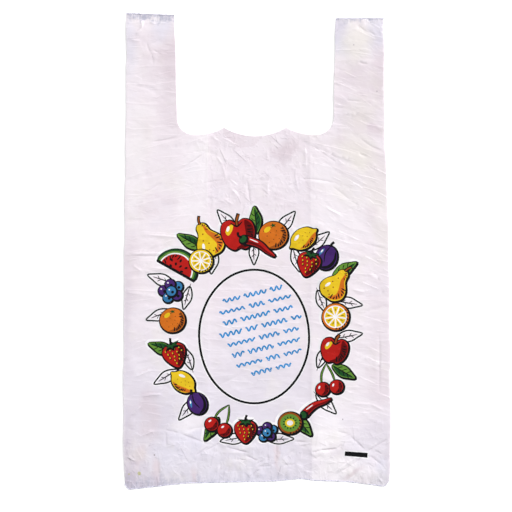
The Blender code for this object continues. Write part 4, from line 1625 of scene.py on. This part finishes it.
class FilmShape:
    """The plies of the bag and the folds between them, gathered into one mesh."""

    FOLD_STEPS = 4

    def __init__(self, settings):
        self.settings = settings
        self.fold_flow = FoldFlow()
        self.film = film_crinkles(settings, self.fold_flow)
        self.rng = np.random.default_rng(settings.seed + 1)
        self.edge = HALF_WIDTH - 0.3
        self.stations = np.linspace(-HALF_LENGTH, HALF_LENGTH, 331)
        self.inner_stations = self.stations[::2]
        self.points = []
        self.faces = []
        self.flow = []
        self.count = 0

    def add(self, points, faces, flow):
        start = self.count
        self.points.append(np.asarray(points, float))
        self.flow.append(flow)
        self.faces.append(np.asarray(faces, int) + start)
        self.count += len(points)
        return start

    def ply(self, ply, outline, lines, step, upward):
        flat, faces = sheet_mesh(outline, lines, step, self.rng)
        x, y = flat[:, 0], flat[:, 1]
        z = ply_height(ply, x, y, self.film, self.settings)
        new_x, new_y = laid(x, y, front=ply == 3)
        if not upward:
            faces = faces[:, ::-1]
        start = self.add(np.stack([new_x, new_y, z], 1), faces, self.fold_flow.vectors(x, y))
        return flat, faces, start

    def rim(self, flat, start, x):
        """The numbers of a ply's points along one fold, from the base up."""
        along = np.flatnonzero(np.abs(flat[:, 0] - x) < 1e-3)
        along = along[np.argsort(flat[along, 1])]
        return flat[along, 1], along + start

    def join(self, low_rim, high_rim, outward):
        """A half-round fold between the rims of two plies, bulging to +X or -X."""
        points, flow = np.concatenate(self.points), np.concatenate(self.flow)
        low_y, low = low_rim
        high_y, high = high_rim
        if len(low) != len(high) or np.abs(low_y - high_y).max() > 1e-2:
            raise RuntimeError("two plies do not share their fold")
        a, b = points[low], points[high]
        rows = [low]
        for step in range(1, self.FOLD_STEPS):
            turn = math.pi * step / self.FOLD_STEPS - math.pi / 2
            middle = (a + b) / 2
            radius = (b[:, 2] - a[:, 2]) / 2
            ring = middle.copy()
            ring[:, 0] += outward * radius * math.cos(turn)
            ring[:, 2] += radius * math.sin(turn)
            rows.append(self.add(ring, np.zeros((0, 3), int), flow[low]) + np.arange(len(low)))
        rows.append(high)
        for below, above in zip(rows, rows[1:]):
            a0, a1, b0, b1 = below[:-1], below[1:], above[:-1], above[1:]
            strip = np.concatenate([np.stack([a0, a1, b1], 1), np.stack([a0, b1, b0], 1)])
            if outward < 0:
                strip = strip[:, ::-1]
            self.faces.append(strip)

    def build(self, layers):
        settings = self.settings
        outline = bag_outline(self.edge, self.stations)
        lines = seen_lines(layers)
        lines += self.film.crest_lines(0.45, 9.0, (-0.65, 0.0, 0.65))
        lines += self.film.crest_lines(0.2, 0.45, (0.0,))
        front_flat, front_faces, front = self.ply(3, outline, lines, settings.front_step, True)
        first_face = sum(len(group) for group in self.faces)
        back_flat, back_faces, back = self.ply(0, outline, [], settings.back_step, False)
        BUILT["back"] = (back_flat, back_faces, first_face)
        for side, inner in ((-1, LEFT_FOLD_X), (1, RIGHT_FOLD_X)):
            ring = gusset_outline(side, inner, self.edge, self.stations, self.inner_stations)
            lower_flat, _, lower = self.ply(1, ring, [], settings.gusset_step, True)
            upper_flat, _, upper = self.ply(2, ring, [], settings.gusset_step, False)
            outer = side * self.edge
            self.join(self.rim(back_flat, back, outer), self.rim(lower_flat, lower, outer), side)
            self.join(self.rim(upper_flat, upper, outer), self.rim(front_flat, front, outer), side)
            self.join(self.rim(lower_flat, lower, inner), self.rim(upper_flat, upper, inner), -side)
        return front_flat, front_faces, front


BUILT = {}


def film_area():
    """The flat area of the film in square metres: the tube less what the die cuts out."""
    neck = np.array(neck_line())
    across = np.linspace(-HALF_WIDTH + HANDLE_TOP_WIDTH, HALF_WIDTH - HANDLE_TOP_WIDTH, 400)
    lower = neck[np.argsort(neck[:, 0], kind="stable")]
    depth = HALF_LENGTH - np.interp(across, lower[:, 0], lower[:, 1])
    plies = np.where((across > LEFT_FOLD_X) & (across < RIGHT_FOLD_X), 2, 4)
    cut = float(np.sum(depth * plies) * (across[1] - across[0]))
    tube = tube_width() * 2 * HALF_LENGTH
    return (tube - cut) * MM * MM


def tube_width():
    """The flat width of the film's tube, opened out."""
    gussets = (HALF_WIDTH + LEFT_FOLD_X) + (HALF_WIDTH - RIGHT_FOLD_X)
    return 4 * HALF_WIDTH + 2 * gussets


def millimetres(name, description, default, least):
    text = description + ", in millimetres"
    return FloatProperty(name=name, description=text, default=default, min=least)


def film_tone(name, description, default):
    return FloatVectorProperty(name=name, description=description, default=default, subtype="COLOR")


class BagFilmSettings(bpy.types.PropertyGroup):
    seed: IntProperty(
        name="Crinkle seed", description="Which of the possible crinkles the film has", default=11
    )
    ply_gap: millimetres("Ply gap", "Usual gap between two plies", 0.4, 0.05)
    crackle_height: millimetres("Crackle height", "Height of the finest crinkles", 0.16, 0.0)
    front_step: millimetres("Front fineness", "Distance between points of the front", 1.75, 1.0)
    back_step: millimetres("Back fineness", "Distance between points of the back", 3.2, 1.0)
    gusset_step: millimetres("Gusset fineness", "Distance between points of a gusset", 4.0, 1.0)
    film_colour: film_tone("Film", "Colour of the film where two plies lie", (0.885, 0.803, 0.868))
    gusset_colour: film_tone(
        "Film over gussets", "Colour of the film where four plies lie", (0.915, 0.838, 0.895)
    )
    # Painted light of crests, facets and bright patches
    painted_light_colour: film_tone(
        "Pale film", "Colour of stretched crests and of the palest film", (0.97, 0.92, 0.965)
    )
    warm_colour: film_tone("Creamy film", "Colour of the film's creamy patches", (0.86, 0.812, 0.765))
    cool_colour: film_tone("Bluish film", "Colour of the film's bluish patches", (0.79, 0.765, 0.88))
    # Painted shade of hollows, valleys, facets, dull patches and the bare back under the lip
    painted_shade_colour: film_tone("Dull film", "Colour of the film where its plies lie apart", (0.77, 0.67, 0.73))
    # Also the painted shade towards the base
    violet_colour: film_tone("Lower film", "Colour of the film towards its base", (0.77, 0.735, 0.835))
    # Dirt in the base's corners and painted shade along the lower edges and folds
    dirt_and_shade_colour: film_tone("Dusky film", "Colour of the film's dirty violet patches", (0.60, 0.535, 0.635))
    # The welds' grey, also used as painted shade among the gathers beside them
    weld_and_shade_colour: film_tone("Weld", "Colour of the film where it is welded", (0.50, 0.50, 0.62))
    film_alpha: FloatProperty(
        name="Opacity", description="How much one ply hides what lies under it", default=0.94,
        min=0.0, max=1.0, subtype="FACTOR",
    )


class BagStageSettings(bpy.types.PropertyGroup):
    distance: FloatProperty(
        name="Camera distance", description="From the bag to the camera", default=1.3, unit="LENGTH"
    )
    tilt: FloatProperty(
        name="Camera tilt", description="How far the camera leans back from straight above, in degrees",
        default=6.3,
    )
    lens: FloatProperty(name="Lens", description="Focal length in millimetres", default=80.5)
    look_at: FloatVectorProperty(
        name="Aim", description="The point that the camera looks at", default=(-0.0002, -0.012, 0.0),
        subtype="TRANSLATION",
    )
    floor_size: FloatProperty(
        name="Floor size", description="Side of the square floor", default=8.0, unit="LENGTH"
    )


def placed(piece, material_slot):
    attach(piece, "root")
    return piece


class BAG_OT_film(bpy.types.Operator):
    """Makes the folded, crinkled film of the bag as one sheet"""

    bl_idname = "carrier_bag.film"
    bl_label = "Film"

    def execute(self, context):
        settings = context.scene.bag_film
        groups = {"crackle": crinkle_group(), "cast": tint_and_shade_group()}
        shape = FilmShape(settings)
        layers = print_layers()
        flat, faces, start = shape.build(layers)
        points, triangles = np.concatenate(shape.points), np.concatenate(shape.faces)
        flow = np.concatenate(shape.flow)
        film = mesh_object("bag_film", points, triangles, flow)
        film.data.materials.append(film_material("carrier_film", settings, groups))
        # The second material darkens the bare back under the lip with painted shade
        film.data.materials.append(film_material("single_film", settings, groups, single=True))
        self.mark_single(film, points)
        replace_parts(placed(film, "film"), "bag")
        BUILT.update(film=film, groups=groups, layers=layers, flat=flat, faces=faces)
        BUILT.update(points=points, shape=shape, flow=flow)
        return {"FINISHED"}

    def mark_single(self, film, points):
        """Gives the back a painted shade where the pulled lip leaves it bare."""
        flat, faces, first_face = BUILT["back"]
        middle = flat[faces].mean(1)
        lip = np.array(LIP_PULL, float)
        top = HALF_LENGTH - NECK_DEPTH - through(lip[:, 0], lip[:, 1], middle[:, 0], 1.2) + 1.0
        bare = (np.abs(middle[:, 0] + 10) < 27) & (middle[:, 1] > top)
        index = np.zeros(len(film.data.polygons), np.int32)
        index[first_face + np.flatnonzero(bare)] = 1
        film.data.polygons.foreach_set("material_index", index)


class BAG_OT_print(bpy.types.Operator):
    """Lays the inked fields of the print on the front of the film"""

    bl_idname = "carrier_bag.print_ink"
    bl_label = "Print"

    def execute(self, context):
        flat, faces, points = BUILT["flat"], BUILT["faces"], BUILT["points"]
        inks = inks_of(flat[faces].mean(1), BUILT["layers"])
        inked = faces[inks >= 0]
        used = np.unique(inked)
        numbers = np.zeros(len(flat), int)
        numbers[used] = np.arange(len(used))
        lifted = points[used] + (0.0, 0.0, 0.03)
        ink = mesh_object("garland_print", lifted, numbers[inked], BUILT["flow"][used])
        for name in INK_NAMES:
            ink.data.materials.append(ink_material(name, INKS[name], context.scene.bag_film, BUILT["groups"]))
        ink.data.polygons.foreach_set("material_index", inks[inks >= 0].astype(np.int32))
        placed(ink, "print")
        BUILT["ink"] = ink
        return {"FINISHED"}


# The melted bead of a weld
BEAD_HALF_WIDTH = 0.55
BEAD_HALF_HEIGHT = 0.26
BEAD_LEAST_HEIGHT = 0.33
BEAD_STEP = 1.2
BEAD_SIDES = 8


class BAG_OT_welds(bpy.types.Operator):
    """Makes the melted beads across the base and the handle tops"""

    bl_idname = "carrier_bag.welds"
    bl_label = "Welds"

    def execute(self, context):
        settings = context.scene.bag_film
        material = weld_material(settings, BUILT["groups"])
        inner = HALF_WIDTH - HANDLE_TOP_WIDTH
        rows = (
            ("base_weld", -HALF_WIDTH, HALF_WIDTH, -HALF_LENGTH),
            ("left_handle_weld", -HALF_WIDTH, -inner, HALF_LENGTH),
            ("right_handle_weld", inner, HALF_WIDTH, HALF_LENGTH),
        )
        beads = []
        for name, low, high, y in rows:
            beads.append(self.bead(name, low, high, y, settings, material))
        BUILT["beads"] = beads
        return {"FINISHED"}

    def bead(self, name, low, high, y, settings, material):
        """A thin melted roll that follows the film's edge."""
        count = int((high - low) / BEAD_STEP)
        x = np.linspace(low + 0.3, high - 0.3, count)
        film = BUILT["shape"].film
        row = np.full(count, y)
        z = (ply_height(0, x, row, film, settings) + ply_height(3, x, row, film, settings)) / 2
        new_x, new_y = laid(x, row)
        across = BEAD_SIDES
        points, faces = [], []
        for index in range(count):
            swell = 1.0 + 0.25 * math.sin(index * 0.9) * math.sin(index * 0.37)
            for step in range(across):
                turn = 2 * math.pi * step / across
                along = new_y[index] + BEAD_HALF_WIDTH * swell * math.cos(turn)
                up = max(z[index], BEAD_LEAST_HEIGHT) + BEAD_HALF_HEIGHT * swell * math.sin(turn)
                points.append((new_x[index], along, up))
        for index in range(count - 1):
            for step in range(across):
                after = (step + 1) % across
                a, b = index * across + step, index * across + after
                c, d = a + across, b + across
                faces += [(a, b, d), (a, d, c)]
        for ring, flip in ((0, True), (count - 1, False)):
            for step in range(1, across - 1):
                a = ring * across
                face = (a, a + step, a + step + 1)
                faces.append(face[::-1] if not flip else face)
        piece = mesh_object(name, points, faces)
        piece.data.materials.append(material)
        return placed(piece, "film")


# The lamps: name, direction, strength and spread in degrees
LAMPS = (("key", KEY_LIGHT, 2.85, 9.0), ("fill", (-0.6, -0.2, 0.77), 0.2, 40.0))
AMBIENT = 0.475
FLOOR_GLOW = 0.4
FLOOR_DROP = 0.2


class BAG_OT_stage(bpy.types.Operator):
    """Sets the pale floor, the soft light and the camera above the bag"""

    bl_idname = "carrier_bag.stage"
    bl_label = "Stage"

    def execute(self, context):
        settings = context.scene.bag_stage
        self.floor(settings)
        self.world(context.scene)
        for lamp in LAMPS:
            self.lamp(*lamp)
        self.camera(context.scene, settings)
        context.scene.view_settings.view_transform = "Standard"
        return {"FINISHED"}

    def seen_white(self, tree, share):
        """A glow that the camera sees, and glossy and clear surfaces with it."""
        path = tree.nodes.new("ShaderNodeLightPath")
        seen = plus(tree, path.outputs["Is Camera Ray"], path.outputs["Is Glossy Ray"], clamp=True)
        seen = plus(tree, seen, path.outputs["Is Transmission Ray"], clamp=True)
        return times(tree, seen, share)

    def floor(self, settings):
        half = settings.floor_size / 2
        mesh = bpy.data.meshes.new("floor")
        corners = [(-half, -half, 0), (half, -half, 0), (half, half, 0), (-half, half, 0)]
        mesh.from_pydata(corners, [], [(0, 1, 2, 3)])
        floor = bpy.data.objects.new("floor", mesh)
        floor.location.z = -FLOOR_DROP * MM
        bpy.context.scene.collection.objects.link(floor)
        material, tree, shader = new_material("white_floor")
        shader.inputs["Base Color"].default_value = (0.9, 0.9, 0.9, 1.0)
        shader.inputs["Roughness"].default_value = 1.0
        shader.inputs["Specular IOR Level"].default_value = 0.0
        shader.inputs["Emission Color"].default_value = (1.0, 1.0, 1.0, 1.0)
        tree.links.new(self.seen_white(tree, FLOOR_GLOW), shader.inputs["Emission Strength"])
        mesh.materials.append(material)

    def world(self, scene):
        world = bpy.data.worlds.new("studio")
        scene.world = world
        world.use_nodes = True
        tree = world.node_tree
        back = tree.nodes["Background"]
        back.inputs["Color"].default_value = (1.0, 1.0, 1.0, 1.0)
        extra = self.seen_white(tree, 1.0 - AMBIENT)
        tree.links.new(plus(tree, extra, AMBIENT), back.inputs["Strength"])

    def lamp(self, name, towards, strength, spread):
        data = bpy.data.lights.new(name, "SUN")
        data.energy = strength
        data.angle = math.radians(spread)
        lamp = bpy.data.objects.new(name, data)
        lamp.rotation_euler = Vector(towards).to_track_quat("Z", "Y").to_euler()
        bpy.context.scene.collection.objects.link(lamp)

    def camera(self, scene, settings):
        data = bpy.data.cameras.new("camera")
        data.lens = settings.lens
        data.sensor_width = 36.0
        camera = bpy.data.objects.new("camera", data)
        tilt = math.radians(settings.tilt)
        aim = Vector(settings.look_at)
        camera.location = aim + settings.distance * Vector((0.0, -math.sin(tilt), math.cos(tilt)))
        camera.rotation_euler = (tilt, 0.0, 0.0)
        scene.collection.objects.link(camera)
        scene.camera = camera


class BAG_PT_panel(bpy.types.Panel):
    """Lists the bag's pieces in the sidebar"""

    bl_idname = "BAG_PT_panel"
    bl_label = "Carrier Bag"
    bl_space_type = "VIEW_3D"
    bl_region_type = "UI"
    bl_category = "Carrier Bag"

    def draw(self, context):
        for group in (context.scene.bag_film, context.scene.bag_stage):
            box = self.layout.box()
            for name in group.bl_rna.properties.keys():
                if name not in ("rna_type", "name"):
                    box.prop(group, name)
        for operator in OPERATORS:
            self.layout.operator(operator.bl_idname)


OPERATORS = (BAG_OT_film, BAG_OT_print, BAG_OT_welds, BAG_OT_stage)
CLASSES = (BagFilmSettings, BagStageSettings, *OPERATORS, BAG_PT_panel)


def register():
    for cls in CLASSES:
        bpy.utils.register_class(cls)
    bpy.types.Scene.bag_film = PointerProperty(type=BagFilmSettings)
    bpy.types.Scene.bag_stage = PointerProperty(type=BagStageSettings)


def unregister():
    del bpy.types.Scene.bag_stage
    del bpy.types.Scene.bag_film
    for cls in reversed(CLASSES):
        bpy.utils.unregister_class(cls)


def main():
    register()
    bpy.ops.carrier_bag.film()
    bpy.ops.carrier_bag.print_ink()
    bpy.ops.carrier_bag.welds()
    bpy.ops.carrier_bag.stage()
    film_area()


if __name__ == "__main__":
    main()
